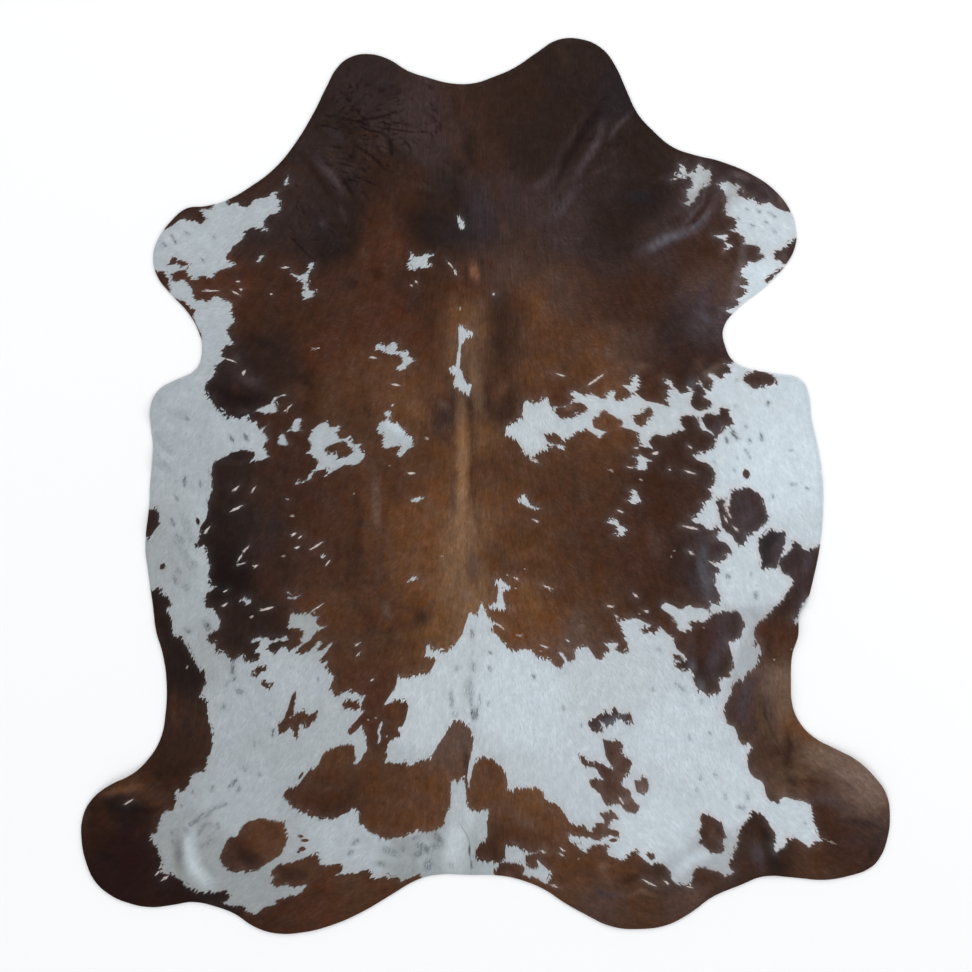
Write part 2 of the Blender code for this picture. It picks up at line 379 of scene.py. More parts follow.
# The border of the big brown field, one stretch after another round it
BIG_FIELD = """
left foreleg: -65.7,72.3 -63.8,72.9 -62.5,72 -61.2,71.8 -59.8,72.5 -58.5,73.8 -55.3,74.3
  -54.2,75.8 -52.8,75.9 -53.8,75 -53,74 -52.3,71.5 -53,70.3 -55,69.8 -56.8,68 -55.9,66.5
  -56.1,65.5 -57.5,66.3 -59.5,66.6 -61,66 -61.9,65 -61.8,63.8 -64.6,61.8 -66.5,58.4 -64.3,57
  -66,56 -68.5,55.4 -69.5,54.5 -70,53.5 -71.8,54.2 -73,54.2 -73.6,53.2 -75,53.3 -76.2,54.8
  -76.4,55.9 -80.3,54.9 -80.3,53 -78.8,52.8 -77,53.1 -75.8,52 -75,50.7 -74.5,48.2 -71.2,47.4
  -70,48 -69,49 -64.8,47.2 -64.9,45 -64.3,42 -66.2,40 -64.5,36.3 -66,36.5 -67.6,34.8 -66.8,32.8
  -69,31 -69.2,29.5
left flank upper: -69.8,28 -71,27.2 -71.9,25 -70.8,22.8 -70,22.5 -69.5,21.2 -68.2,19.5 -67,19.3
  -66.8,18.2 -66.2,17.5 -65,18 -63,17.4 -61.5,18.2 -60.9,18 -60.6,17.2 -59,16.5 -58.2,15
  -57.3,14.9 -55.6,15.8 -57,14.7 -55.7,12.5 -55.2,12.2 -56,11.7 -56.8,10 -55.8,9.6 -55.8,8
  -55.2,7.5 -59.8,6.7 -58.9,8.2 -59.2,9 -61.5,9.7 -65,9 -65.8,8.3 -69.6,6.5
left flank lower: -69.9,5 -70.3,-2 -71.1,-5 -71.3,-7.5 -73.2,-10.5 -73,-11.5 -73.3,-13 -74.4,-14.8
  -74,-15.3 -72.5,-15.2 -71.3,-17 -70.5,-21 -71.2,-23.5 -70.3,-25.3 -69.2,-25.8 -71.3,-27.2
  -71.8,-29.8 -71.4,-31 -70.2,-31 -67.8,-34 -67.9,-35.5 -68.8,-37 -70.5,-37.3 -71.5,-38.3
  -71.5,-39.5 -70.8,-40.1 -69,-39.9 -69,-42.3 -67,-42.5 -65.2,-44.5 -62.5,-43 -62,-43.3
  -61.8,-44.3 -61,-44.8 -59.5,-44.8 -58.2,-44.2 -57.5,-43.3 -59,-42.3 -57.5,-40 -58,-39.5
  -60.3,-40 -59.5,-39 -58,-38.5 -55.5,-38.7 -55.3,-39.6 -51.7,-38.4 -50,-39.3 -53.5,-39.7
  -55,-40.2 -55.8,-41 -55.5,-42 -53.5,-42.9 -52.5,-41.3 -51.5,-40.9 -50.8,-41.3 -50.3,-42.3
  -46.5,-40
left belly: -47.5,-39.3 -46.4,-38 -46.5,-36.8 -50.2,-36 -50.3,-35 -49.8,-33 -49.3,-32.2 -48,-32.6
  -45.3,-32.5 -44.5,-32 -44.2,-33 -42.4,-33.3 -43.3,-35.3 -40.8,-36 -43.3,-37 -44.3,-39
  -46.8,-40.6 -47.8,-41.5 -48.3,-42.5 -47.3,-43 -44.8,-42 -42.5,-39.5 -41.5,-39.8 -43,-41.8
  -42.2,-42 -41,-41.5 -40.3,-40.5 -39,-39.9 -41,-43 -42.8,-44.8 -41.8,-45 -40,-44.6 -41,-46.3
  -38.8,-48.8 -40,-51.8 -39,-52 -38.9,-53 -38.3,-53.6 -35,-52 -34,-53 -33,-52.9 -30.8,-53.9
  -32,-56.3 -32.8,-54.8 -35.5,-54.8 -36.6,-55.5 -36,-56.9 -33.5,-57.3 -32.5,-57 -31,-57.6
  -35.2,-62.5 -34.8,-63.4 -33.5,-62.8 -32,-61.3 -31.2,-62 -30.3,-64.5 -30.3,-67.5 -31,-68
  -32,-70.3 -33.3,-71.3 -33.7,-71 -33,-69.5 -33.5,-66.7
left rump blotch: -34.3,-65.6 -37,-66 -41,-68 -42,-69.3 -42.8,-71.5 -44,-72.3 -44.6,-72 -47.5,-76
  -49,-76.9 -50,-77 -51.3,-78 -51.8,-79 -51.5,-79.8 -50.5,-80.5 -50,-81.8 -49,-82.4 -48.2,-82.3
  -47.5,-83.3 -46.5,-83.6 -45.5,-83.3 -45.3,-84.4 -43.5,-84.7 -43,-84.5 -42.3,-85.2 -38.5,-85.1
  -34,-82.6 -33,-83 -32.2,-84.5 -32.2,-86 -29.5,-88.8 -28,-89 -27,-89.8 -25.3,-90.4 -21,-89.9
  -17.8,-88.3 -14.5,-88.6 -11.5,-87.2 -10.6,-86.3 -9.8,-83.5 -9,-82 -8.7,-74.8 -7.2,-75.8 -6.5,-75
  -5.7,-74.9 -5.2,-75.8 -4.8,-81 -4,-82.2 -3,-83.2 -2,-83.4 -.8,-82.8 .8,-82.6 1.1,-83.2 .3,-86
  .5,-89.5 .2,-90.5 -1,-91 -2,-92 -2.6,-93.5 -2.6,-94.7 -1.8,-95.8 1.8,-96.3 3,-96.8 3.8,-96.6
  5,-95.5 5.2,-92 6.5,-92.7 7,-91.8 8,-92 10,-93.5 12.8,-94.3 10.2,-94.5 10.1,-96 10.5,-97
  12,-97.8 13,-97.8 13.8,-97.5 13.2,-96.3 13.8,-96.2 16.9,-99 15.8,-101.8 12,-100 10,-99.5
  9.3,-98.6 10.1,-98.1 8.5,-96.5 5,-96.3 3.5,-97 2,-98.5 2.3,-99.8
beyond the rump: 2.5,-106 30,-120 45,-121 60,-113 75,-108 95,-107 108,-100 111,-84 104,-70 90,-60
  86,-50 87,-30 92,-20 92,-14 85.5,-15
right thigh: 84.5,-15.4 83.3,-15.5 82.5,-16.2 81.5,-15.8 80.5,-14.5 79.5,-14 78.6,-14.5 78,-16
  76.5,-17.9 75.8,-18.2 75.3,-20 76.3,-22.5 78,-22.9 78.6,-24 78.3,-25.3 75.5,-29.5 69,-36
  68.8,-37.5 69.3,-39.3 68.7,-41 69.3,-41 70,-40 70.5,-41.5 70.5,-43 69.8,-43.5 70,-44.5 68,-47.3
  67,-47.8 66,-49.8 65.3,-49 63.8,-50 63,-51.5 62.8,-53 61.2,-56 61,-57.5 62,-60.8 64,-61.5 65,-65
  65.6,-66 68,-66.4 68.3,-67 67.3,-68 66.9,-70 67.2,-72 68,-73.8 69,-74.8 70.5,-75.2 71.2,-76
  71.4,-78 72,-79.5 73,-80.8 75,-81.2 76.8,-79.5 82.8,-81.2 83.3,-82 83.8,-85.5 85.8,-90.7
  85,-90.8 83,-92.6 79,-90 78.2,-90.6 77.3,-89.8 76.8,-92.5 75.5,-92.5 74.4,-94.2
right hock: 73.8,-93 73.8,-91.5 74.2,-90.5 74,-88.5 71.5,-84.8 70.5,-83.8 69,-83.4 68.5,-82.9
  68,-84 65,-87.5 64.5,-91 63.5,-94.5 62.5,-96 62.3,-97.3 63.5,-99 61.5,-100.2 59.5,-98.7
  54.5,-97.4 53.5,-98 52.8,-99.3 52.5,-102.2 49,-102 47.8,-101.3 47,-98.6 46.3,-97.6 45,-96.6
  43.3,-96.5 42.5,-97.1 41.5,-96.5 38.9,-94.5 38.8,-93.1 37.5,-93.5 35.5,-95.6 34.5,-95.8 33.3,-95
  31.8,-94.7 31,-94 30.6,-93 31.3,-92.3 31,-91.8 27.5,-91.8 25.3,-93.6 24,-93 23,-92 24.3,-91.8
  22.5,-91.5 21.3,-90.5 21,-89.3 29,-90.6 31,-89.5 34,-89.8 34.7,-89.3 34,-88.4 32.8,-87.7
  31.3,-87.6 31.2,-87 32,-85.8 34.3,-85.2 32.3,-83.1 29.7,-83.5 29.2,-84.2 30.1,-85.3 30.3,-86.5
  29.5,-86.1 28,-86.3 27.8,-87.3 26.9,-88.7 24.8,-86.6 23.8,-87 22,-86.2 20.8,-85 20.3,-83.8
  18.3,-81.3 16.5,-80.8 15,-79.8 14.8,-78.5
rump middle: 14,-77.5 12.8,-76.9 12,-77.2 8.8,-77.2 7.5,-76.8 7,-77.9 5.8,-77.5 5.1,-73.3
  4.3,-71.8 2,-69.6 .6,-69.5 0,-68.8 -2.3,-70 -3,-71.3 -4.3,-77 -4.7,-75 -4.5,-73 -2.8,-64
  -3.3,-63.5 -4,-61.3 -4.8,-60.9 -5.5,-60 -7,-59.7 -8.3,-60.2 -9.3,-61.3 -14,-69.6 -17,-70.2
  -19.8,-71.8 -20.3,-71.3 -20,-70.4 -22.5,-71 -24,-70.9 -24.7,-70.4 -25.7,-71 -26,-70.6
  -25.2,-69.5 -25,-66.3 -24.5,-65 -22,-64 -21.7,-63 -22.5,-62.6 -22.3,-62 -21.3,-61.5 -20.5,-60
  -19.7,-56 -20.2,-54.8 -21.3,-54.9 -22,-54.5 -24.5,-55.2 -25.3,-56 -26.1,-56.2 -23,-51.5
  -22.4,-48.5 -21,-49.3 -16.5,-48 -16,-47.5 -15.3,-47.9 -14.2,-47.5 -12.5,-44.5 -13.3,-43.7
  -14.3,-43.9 -15.1,-43.5 -15.3,-42.5 -14.8,-40.3 -14.1,-40.3 -13.8,-41.5 -13.2,-42 -12,-41.8
  -11.5,-42.4 -10.2,-42.2 -7.8,-40.4 -6.7,-38.3 -5.9,-38 -4.2,-32.2 -3.3,-31.9 -2.8,-32.6
  -2.2,-32.8 -1.2,-29.8 -.6,-30.2 .2,-32
right belly: 1,-33.5 2.7,-35.3 1.8,-35.6 1.3,-36.7 3.5,-38.3 4.2,-39.5 6.8,-42 8,-42.3 8.7,-41.4
  12.5,-42.3 13.5,-43.8 16.5,-44.2 18,-46 19.3,-46.4 20.3,-44.9 18.8,-42.7 19.3,-42.3 21,-44.5
  22,-44.8 22.6,-43.8 22.4,-42.2 24.5,-41 26.1,-41 28.3,-44.3 29.5,-44.6 30.3,-42.9 31.3,-42.3
  31.2,-41.3 30.3,-40.2 33,-39.9 33.8,-40.2 34.3,-40.8 33.2,-41 33,-41.7 35.3,-42.8 36.3,-42
  36.8,-40.8 35.3,-38.9 35.5,-38 34.7,-37 33.8,-34.5 36,-34.2 37.5,-33.6 38.5,-33.8 42.8,-35.8
  40.8,-36.3 39.8,-37 40.5,-37.6 42,-37.3 43.3,-37.7 43.8,-37.3 44,-36.4 44.8,-36 45.5,-37
  47.5,-38.5 48.8,-39 47.8,-39.5 48.8,-41.7 51,-43.3 51.4,-44.3 51,-44.8 49.5,-44.3 50.3,-44.4
  50.6,-43.9 49.3,-43 48.3,-42.8 47.6,-43.2 49.3,-44.8 48.5,-45.2 48.6,-46.2 51,-47.3 52.6,-46.8
  53.3,-48
right flank lower: 53,-48.5 53.8,-51.3 54.6,-52.3 55.3,-52 57.3,-53.7 58.3,-53.1 59.3,-53.2
  60.3,-52.5 60,-50 60.3,-49.5 62.4,-49 62.7,-47.5 63.4,-46.3 63.6,-44.8 63.3,-43 62.2,-40
  64.3,-39.3 65.2,-38.5 66.2,-36 66.2,-34.8 65.5,-33 64.5,-31.9 63,-31.8 60,-32.4 58,-32.4
  57.3,-33 57,-34 55.5,-34.6 52.5,-34.5 51.3,-35 52.3,-35.5 52.8,-36.3 51.5,-37 50,-37 49.2,-36.5
  48.9,-35.3 47.5,-33 45,-31.3 45.2,-30.4 46,-29.8 49.5,-31.3 53.5,-30.7 57,-31.4 57.6,-29.6
  59.6,-30.2 60,-29 59.9,-27.5 58.5,-24.8 58.7,-23 59.7,-21.8 59.5,-20.7 58.5,-20.2 58.3,-19.4
  61.7,-18.9 61.5,-17.5 62.8,-17 63,-16.3 61.5,-14.2 59.3,-13.5 59,-12 59.8,-11.2 59.5,-10.2
  58.5,-10.2 57.5,-11 56.5,-10.7 55.8,-9.8 53.5,-9.2 52.6,-8 53.5,-8 54.2,-7.3 55.5,-5.5 55.3,-4.3
  56.5,-4 57.4,-3 58,-1.8 57.2,-.7 58,0
right flank upper: 58.4,1.5 58.6,3 58.3,4.5 57.5,5.5 56.3,6.3 53.8,7.2 53,8 55,8.8 56.5,8.8
  57.5,9.5 58.5,10.5 59.1,12.7 60.7,14 60.9,15.1 63.4,16.2 62.2,20 60.5,20.6 59.6,19.9 59.6,18.8
  59,18.5 58,18.9 56.5,18.7 55.8,18 54.8,17.9 56.3,15 58.2,13.9 58.5,13.2 56.8,14.3 55.5,14.6
  54.8,15.3 53.9,17.8 53,18.3 51.5,18.5 50,18 49.6,17 50.6,14.9 46.3,13.2 45,13.1 43.8,13.7
  42.5,13.3 41.8,12.5 41.5,11.3 42.6,9.9 40.5,10.4 39.4,10.3 39.7,11 38.8,13.7 38.3,14.3 34.5,15.3
  35.1,16.9 31.8,18.5 30.3,19.7 29,19.3 28.5,18 27.7,17.8 27.4,17 27.8,14.9 31.3,13.8 29.9,13.7
  28.8,12.8 26,14.6 22.5,13.5 19.7,11.8 19.4,12.5 17.8,13.7 15.2,14 14.8,13.3 15.8,11.8 17,11.1
  19.5,10.9 19.9,9.7 16,10.8 15.5,10.3 17,9.8 16,9.8 12.2,8.3 11.7,7.3 14.3,5.6
right back: 12.8,6.2 11.2,7 11.3,8.2 9.2,8.8 9.9,9.3 9.5,10.2 7.7,12.2 6.7,13 5.2,13.3 5,14.9
  7,16.6 9.4,17.9 9.9,21.8 10.4,22.1 13,21.6 14.3,21.9 15,23.2 15.8,23 16,21.8 16.7,20.8 18,20.4
  20.9,20.6 22.2,22.2 22.2,23 21.5,23.5 21.7,24.4 23.3,24.3 25.2,23.5 27,24 27.8,23.3 29.5,22.7
  31,23.3 30.9,24.3 33.3,24.4 32.6,23 33,22.2 35,22.2 37.7,23.8 34.8,26.1 37,26.1 37.4,26.7
  37,27.6 38.2,28.5 38.9,28.6 39.1,25.8 38,24.3 40.3,22 46.9,20.7 46.7,21.6 46,22.2 46.8,23.2
  46.2,23.9 46.3,24.4 47.2,25 47,25.9 45.7,26.7 45.7,27.4 46.3,27.6 47,27.3 48,25.6 49.4,24.2
  50.2,23.9 51.8,24.4 51.5,25.1 51.9,25.6 53.4,23.9 52.3,22.3 52.3,21.3 53,20.2 54.3,19.5 56.5,20
  57.3,20.5 57.6,21.3 57.3,22.3 56.3,22.6 55.7,23.2 56.3,23.6 56.3,24.2 55,26.2 54.1,26.2
  54.6,27.6 56,25.2 57.1,24.6 57.5,25 58,26.9 57.2,28.2 56.5,28.5 56.8,28.9 57.7,29.2 60.3,27.5
  61,28.6 61.8,29.2 62.8,29.4 63.2,30.2 61.5,31.3 63,31.8
beyond the armpit: 67,33.5 69,38 66,44
right foreleg: 62.5,44.5 61.2,45.2 64.3,46.3 65.2,47.2 64.3,48 66.5,49.3 66.8,50.4 65,51.6
  66.9,51.9 66.8,52.8 65.6,53.7 65.2,55 66.5,57 67.8,57.7 69.5,57.8 71.7,59.3 70.1,59.7 70.3,60.8
  69.3,61.8 66.3,62.2 66.2,63.5 65.2,65 62.5,65.8 63.5,66.2 64.3,67.5 63.5,69 61.6,69.6 61.2,71
  61.5,73 61.3,75 59.4,77.5 62,78.6 63.5,77.4 64.5,77.7 65,77 64.2,76 64.3,75 65.3,74.4 67,73.8
  69,74.2 68.8,73.6 69.8,72.4 70.2,72.3 70.5,72.9 73,72.9 74.5,71.5 78,70.3
beyond the neck: 84,74 70,90 48,100 40,120 0,122 -40,122 -55,95 -68,78
"""

LEFT_HIND_LEG = """
left hind leg thigh: -85.6,-26.5 -84.7,-26.3 -83.8,-25.6 -82.6,-26 -83.2,-27 -80.8,-29 -80.3,-30
  -81.5,-31 -81.6,-32 -80.6,-33 -79.8,-38.3 -79,-38.7 -77.8,-38.5 -73.2,-46.8 -72,-47.3 -71.5,-50
  -72.3,-51 -73.3,-54 -72,-54.2 -71.3,-55 -70.9,-60 -69.9,-63 -69.9,-66 -71.8,-73 -74.5,-73.4
  -76,-76.7 -77.8,-78.6 -78.8,-77.8 -79.3,-78 -78.9,-80.3 -79.7,-82.8 -80.3,-83.6 -81.3,-82.9
  -82.5,-83.8 -84.3,-89.4 -85.5,-89 -85.6,-90.5 -85,-92 -84,-91.8 -83.5,-94 -82.8,-94.8 -83.2,-98
  -82.5,-99.3 -80,-99.6 -79,-100.3
left rump corner: -77.8,-101 -76.5,-102.3 -74,-103.9 -70,-104 -66.5,-103.6 -65.3,-105.3
  -66.3,-106.5 -67.5,-107 -66,-107.4 -62,-107.5 -60.5,-109.5 -59.5,-109.8 -58.5,-109.6
  -57.5,-108.6 -55.5,-107.6 -53.5,-107 -53.5,-106 -50.5,-105 -48,-104.7 -47,-104 -45.6,-102.3
  -46.3,-102 -49.5,-102.8 -51,-102 -53.5,-102.8 -54.5,-101.8 -54.4,-100.8 -53.8,-100.2 -54.8,-99.8
  -54.7,-98.5 -52.5,-96.7 -50.5,-96.7 -44.5,-94.3 -43,-94.5 -42.2,-95.5 -42.3,-97 -37,-96.7
  -36.2,-97 -36.5,-98.5 -37.8,-99.7 -34,-99 -33,-99.3 -31,-98.4 -29.5,-98.5 -28.8,-99.5 -29,-100.3
  -27.5,-100.4 -25,-99.7 -24.5,-100.4 -22.8,-100.1 -21.8,-100.3 -21.8,-101.5 -18,-99.7 -17,-99.4
  -16.5,-99.9
beyond the left leg: -16,-106 -24,-111 -35,-117 -50,-120 -62,-117 -72,-112 -95,-113 -108,-105
  -110,-85 -105,-72 -92,-62 -89,-50 -91,-30 -90,-24
"""

# Brown islands in the white
DARK_ISLANDS = """
bean on the left rump: -68,-95.5 -66,-90.5 -65,-89.7 -63.9,-90 -62.2,-87 -60.5,-85.8 -57.2,-84.8
  -55,-85.5 -51.3,-86 -50.7,-89.5 -50.3,-90 -52,-94.3 -58,-98.2 -60,-98.9 -61.5,-98.9 -62.2,-98.5
  -64,-98.9 -65.5,-98.8 -67.3,-97
left flank rim: -90,-4 -86.2,-5.8 -84,-5.4 -83.4,-9.5 -86.3,-13.3 -86.9,-13 -91,-14
left rump stroke: -48.2,-53 -48.8,-52.6 -49.5,-53.2 -52,-60.3 -53.3,-60.8 -52.8,-63.3 -51.8,-63.2
  -50.2,-61.6 -49,-62.8 -49.3,-64.3 -48.3,-64.4 -47.8,-63.5 -47.5,-61 -46.6,-60.7 -46.3,-61.8
  -45.5,-62.2 -44.3,-60.3 -43.3,-59.5 -42.8,-58.3 -43,-57.6 -45.3,-58.4 -46.2,-57.3 -47.5,-57.5
  -48.6,-57.9 -49,-58.8 -50.2,-59.5 -49.2,-58.5
left belly spot upper: -59.9,-47.3 -58,-45.8 -56,-46.2 -56,-47 -58,-47.9 -59,-48.8 -59.9,-48
left belly spot lower: -57.7,-50 -54,-50 -55,-51.9 -57.3,-51
left foreleg island: -80.5,59 -76.5,57.8 -75.8,57.2 -76.3,56.5 -78,56.3 -79.3,57.2 -81,57
left foreleg rim middle: -88,57 -84.2,55.2 -82,55.3 -81,53 -80.8,50.5 -83,47
left foreleg rim lower: -81,49 -77,47.6 -75.8,46 -74,45 -75,44.2 -74.5,42 -72.6,38.2 -77,38
left foreleg top corner: -84,67 -81.9,65.7 -78,68.8 -76,68.6 -73.2,67.3 -71.2,68.7 -73,71.1
  -70,71.2 -69.5,73.5 -76,74 -82,72
band island left: 17.4,19.5 18,20.1 20.7,20.3 22.3,21.6 23.3,21.8 25.4,21 25.7,20 25,19.1 23,18.5
  22.3,17.9 20.8,17.6 19.3,17.7 18.3,18.3
band island right: 37.5,18.3 39.8,18.8 40.2,19.7 41,20.3 42,20.4 42.6,18.9 42.3,17.8 41.2,17
  40.8,16 39.8,15.5 38.5,15.8 37.8,16.8
right flank block: 62.7,-1.5 63,-.8 66,0 67.5,0 70,-1.5 71,-2.8 72.3,-7.5 72,-9 69.5,-11.5
  67.5,-12.5 66.8,-12.3 66.8,-13.8 66,-14.9 64.5,-14.8 63.2,-12.8 61,-11 60.3,-10 59,-4 59.3,-2.7
  60.8,-2.9 61.3,-4 61,-5 62.2,-7.4 62.3,-3
right flank small block: 69.8,-13 70.8,-12.8 73.2,-10.7 75,-11.6 76.8,-11.5 76.6,-13 77,-14
  76.2,-17 74.5,-21 73.5,-20.5 71,-21.3 70.5,-20.5 70.7,-18 69.8,-16 70.3,-15 69.7,-14
right thigh caterpillar: 26.3,-60 29.8,-58.3 30.3,-57.5 32,-58.2 32.5,-56.3 33.3,-56.6 33.8,-57.8
  35,-58.3 36,-57.8 37,-57.8 38,-60.5 37,-61 36,-60.6 34.5,-59.3 33.5,-59.5 32,-61.3 31,-61.6
  30.2,-60.7 29.5,-60.5 30,-61.8 29.5,-62.8 28.5,-63.2 27.3,-62.5 26.5,-61.5
right thigh tree: 29.9,-64.6 31,-65 34.5,-65.3 35.2,-66 34.7,-68.3 35,-68.8 37.4,-70 37.5,-71.3
  36.3,-74 35.2,-74.8 34.8,-76 35.2,-77 36.5,-77.3 37.3,-78.5 37.2,-79.8 39.3,-81.8 39.5,-83
  38.5,-83.6 37,-83.6 35.5,-82.8 34,-81.2 31.3,-81.7 30.5,-81.3 29.5,-79 27,-76.8 26.5,-75.5
  27,-74.5 28,-74.5 30.5,-75.6 27.7,-71.9 26,-71.8 24.8,-71 24,-69.5 24.5,-68.5 26,-70 27.3,-70.5
  28.5,-70.3 33,-72.8 31,-70
right thigh spot: 38,-75.3 39,-75.3 40.2,-74.2 41.8,-75.3 41.3,-78.5 40.2,-78.9 39,-78.3
  38.3,-77.5
right rump patch: 54.9,-84 56,-83.8 57.5,-84.3 60.3,-86 61.5,-90 60.3,-91.4 60.9,-92.3 61.1,-93.5
  60,-94 58,-93.9 56.8,-93.3 55.8,-92 54.5,-91.6 54.2,-90.8 55,-90.2 54.8,-89 54.3,-88.7 55,-88
  54.9,-86.7 55.3,-86 54.8,-85
right rump spot: 41,-94.3 42,-93.8 43.5,-94.5 43.2,-95.5 42.5,-96.3
right foreleg rim: 84,65 79.3,63.7 77.8,62.8 76.7,61.5 74,60.4 73.5,59.9 74,58.3 75.2,58.3 76,57
  81,57
right foreleg rim lower: 78,56.5 74.8,55.7 71.2,52.8 72.5,52 73.3,53.2 75.2,54.8 77,55
right flank oval: 65.6,27.5 66.5,28.8 68.5,29.7 71,29.5 73,28.8 74.9,27.2 74.3,26.2 69,25.3
  67.3,26
"""

# White islands in the brown
WHITE_ISLANDS = """
left shoulder flag: -59.5,18.9 -58,20.1 -55,21.2 -54,22.8 -51.5,23.7 -51.2,23.4 -52.5,23.2
  -53.5,22.7 -54,22 -53,20 -53.1,19.3 -56,19 -58.5,19.4
left shoulder chip upper: -49.3,16 -48.9,17 -47.5,17.5 -46.8,16.9 -47.4,15.8 -47.3,14.8 -46.9,14.3
  -50.2,14.4 -49.3,15
left shoulder chip lower: -52.1,13.5 -51.3,13.5 -50.6,10.8 -51.8,10.7 -53.2,11.5 -52.5,12.3
left back ring: -41.8,16.5 -40.7,16.7 -39.7,15.4 -37,15.6 -37.3,14.5 -37.8,14 -37.6,13 -37,12.3
  -35.8,12.3 -34.9,12.8 -34.2,11.6 -33.4,11 -32.2,11.2 -31.6,10.8 -31.9,10 -31.5,9 -30.9,8.6
  -30.8,7.6 -31.3,6.9 -33,5.6 -35,5.8 -36.3,5.4 -40.6,2.9 -40,4 -40.5,4.7 -43.8,4.1 -42.5,6
  -42.3,7.2 -43.5,7.1 -43.8,8 -44.7,8.6 -45.7,8.5 -44.5,9.8 -44.2,10.8 -44.5,11.6 -45.3,12.2
  -44.7,13 -44.5,14.3
left back leaf: -46.7,1.1 -45.3,2.2 -44.9,3.2 -43.6,4.1 -44.6,2
left back triangle: -48.9,.5 -47.9,1.8 -47.3,.8
left flank fleck: -42.3,-17.8 -41.5,-17.2 -40.9,-17.8 -41.5,-18.5
left of the spine blotch: -24.3,19.6 -24.1,18.6 -24.5,17.6 -24.2,16.9 -21.9,15.8 -18.3,12.1
  -18.4,10.3 -19.5,10 -21.1,7.8 -21.9,7.8 -22.9,8.4 -21.9,9 -21.6,9.8 -22.3,10.7 -25.7,9.9
  -26.3,11.5 -25.4,13.2 -27.1,13.9 -26.8,14.6 -27.9,15.1 -27.2,15.6 -26.8,16.6 -25.5,16.9
  -24.9,17.5 -25,18.1 -26.2,18.9
small flake left of the spine: -18.9,-3 -16.5,-2.6 -15.9,-2.9 -16.3,-3.5 -18.4,-3.8
small arrow right of the spine: 8.2,-3.1 9.3,-2.4 10.3,-2.3 11,-3.3 11,-4 12,-4.8 14.5,-5.8
  13,-5.9 11.8,-5.5 9.5,-4.3
small flake low on the left: -19.7,-24.4 -18.5,-23 -17.3,-23.3 -17.5,-24 -18.8,-24
beam beside the spine: 2.2,-23.7 3.5,-23.6 5,-24.2 6.5,-25.8 4.7,-26.3 4.3,-27.2 5,-30.8 5.9,-31.3
  1.8,-31.4 .8,-30.4 2.8,-29.3 3.1,-28 3.4,-26.5 3.2,-25.3 2.5,-24.8
right back chip upper: 39.5,8.3 42.2,6.6 41.2,6.3 40.8,4.5 38.2,4.6 38.8,6.3 38.7,7.3 37.9,7.6
  38.8,7.7
right back chip middle: 36.8,-1 38,-.9 39.8,-4.2 38.5,-4 37.3,-4.3 36.8,-3.8 35.8,-3.6 37,-3.4
  37.4,-2.7
right back chip lower: 31.2,-9.3 32,-8.3 32.8,-8 34.5,-10.2 35.5,-10.5 36.3,-11.3 35.2,-11.3
  35,-12.3 34,-12.7 33,-12.3 34,-11.8 33,-9.9
left flank chip: -61.8,-28.3 -60.8,-28.7 -60.2,-29.8 -61.3,-30.2 -62.7,-29.3
left flank hook: -51.3,-27 -50.5,-27.2 -49.8,-28.2 -47.3,-28 -48.8,-28.8 -50.5,-28.8 -50.2,-27.9
left rump crack: -26.7,-60.3 -27.8,-63 -27.2,-64 -27.8,-66.3 -26.9,-65.3 -26.7,-64 -27,-63
  -26.3,-60.5
flame on the left shoulder: -50.7,80 -50.3,78.7 -50.5,77.7 -51.3,77.7
comma on the left shoulder: -57,59.6 -56.6,59 -57.5,58 -58.8,57.4
fork on the left shoulder: -50,55.3 -48.5,54.3 -47.3,54.2 -45.8,54.9 -44.9,56 -44.8,57.4
  -43.7,57.3 -43.9,56 -45.4,54.2 -45.2,50.5 -43.5,50.2 -43.4,49.3 -46,47.9 -46.8,49 -46.4,50.3
  -46.6,52.5 -49.8,54.5
zigzag left of the spine: -28,35.7 -26.8,36.9 -25.5,36 -24.5,36 -23.5,37.1 -22,37 -22.5,35.2
  -20,34.6 -19.3,33.5 -17.8,32.3 -19.5,31.5 -20.3,30 -22.2,29.8 -22.7,30.5 -20.8,32 -20.8,33.2
  -22,34.1 -24.5,34.2 -25.7,34.9 -27.8,35.2
star by the withers: -19.3,60.2 -18,59.3 -16,59.2 -14.5,60 -13.5,59.3 -14.8,58.6 -13.9,56.4
  -17.2,56.3 -18.2,55.4 -19.6,56.8 -18.9,58
spine streak: -6.9,41.5 -6,41.6 -5,40.4 -3.2,39.6 -3.2,38.6 -4.6,38.6 -6.1,36.9 -6.4,35 -6.6,31
  -4.7,26.7 -3.5,26 -4.3,23.4 -5.1,24.3 -7.8,25.6 -8.2,26.8 -7.7,28.5 -9.4,30.3 -7.8,30.9
  -7.4,32.2 -6.8,36.5
right foreleg blotch: 48.3,79.7 49.3,80.7 49.8,82.6 50.7,82.5 51.2,80.3 53,80.5 55.2,83.2 56,81
  57.5,81.7 57.3,77.8 55.5,77 54.3,75.8 53.8,74.2 52,71.8 50.7,72.7 51.8,73.5 51.4,75.3 53,78
  52.9,79.5 51,79.8 50.5,79
right foreleg notch: 58.5,64.3 59.5,64.6 62.3,64.6 61.2,63.6 61.5,62.6 63.3,61.9 61.1,60.2 61.5,62
  61,63.2
right thigh rim: 82.5,-28.5 81.3,-30 80.2,-33 78.9,-34 79.5,-35 83,-35 86,-28
dorsal fleck: -7.2,69.5 -6.5,69.6 -5.8,68.8 -5.3,67 -5.8,66.2 -6.6,67.3
"""

# Brown again inside a white island
DARK_IN_WHITE = """
hole of the left back ring: -41,9.3 -40.3,10.4 -36.5,11.7 -35.3,11.5 -34.8,10.6 -33.8,9.9 -33.6,9
  -35,7.8 -37.6,7.3 -38.3,8 -38.5,8.8 -40,8.3 -40.8,8.6
"""

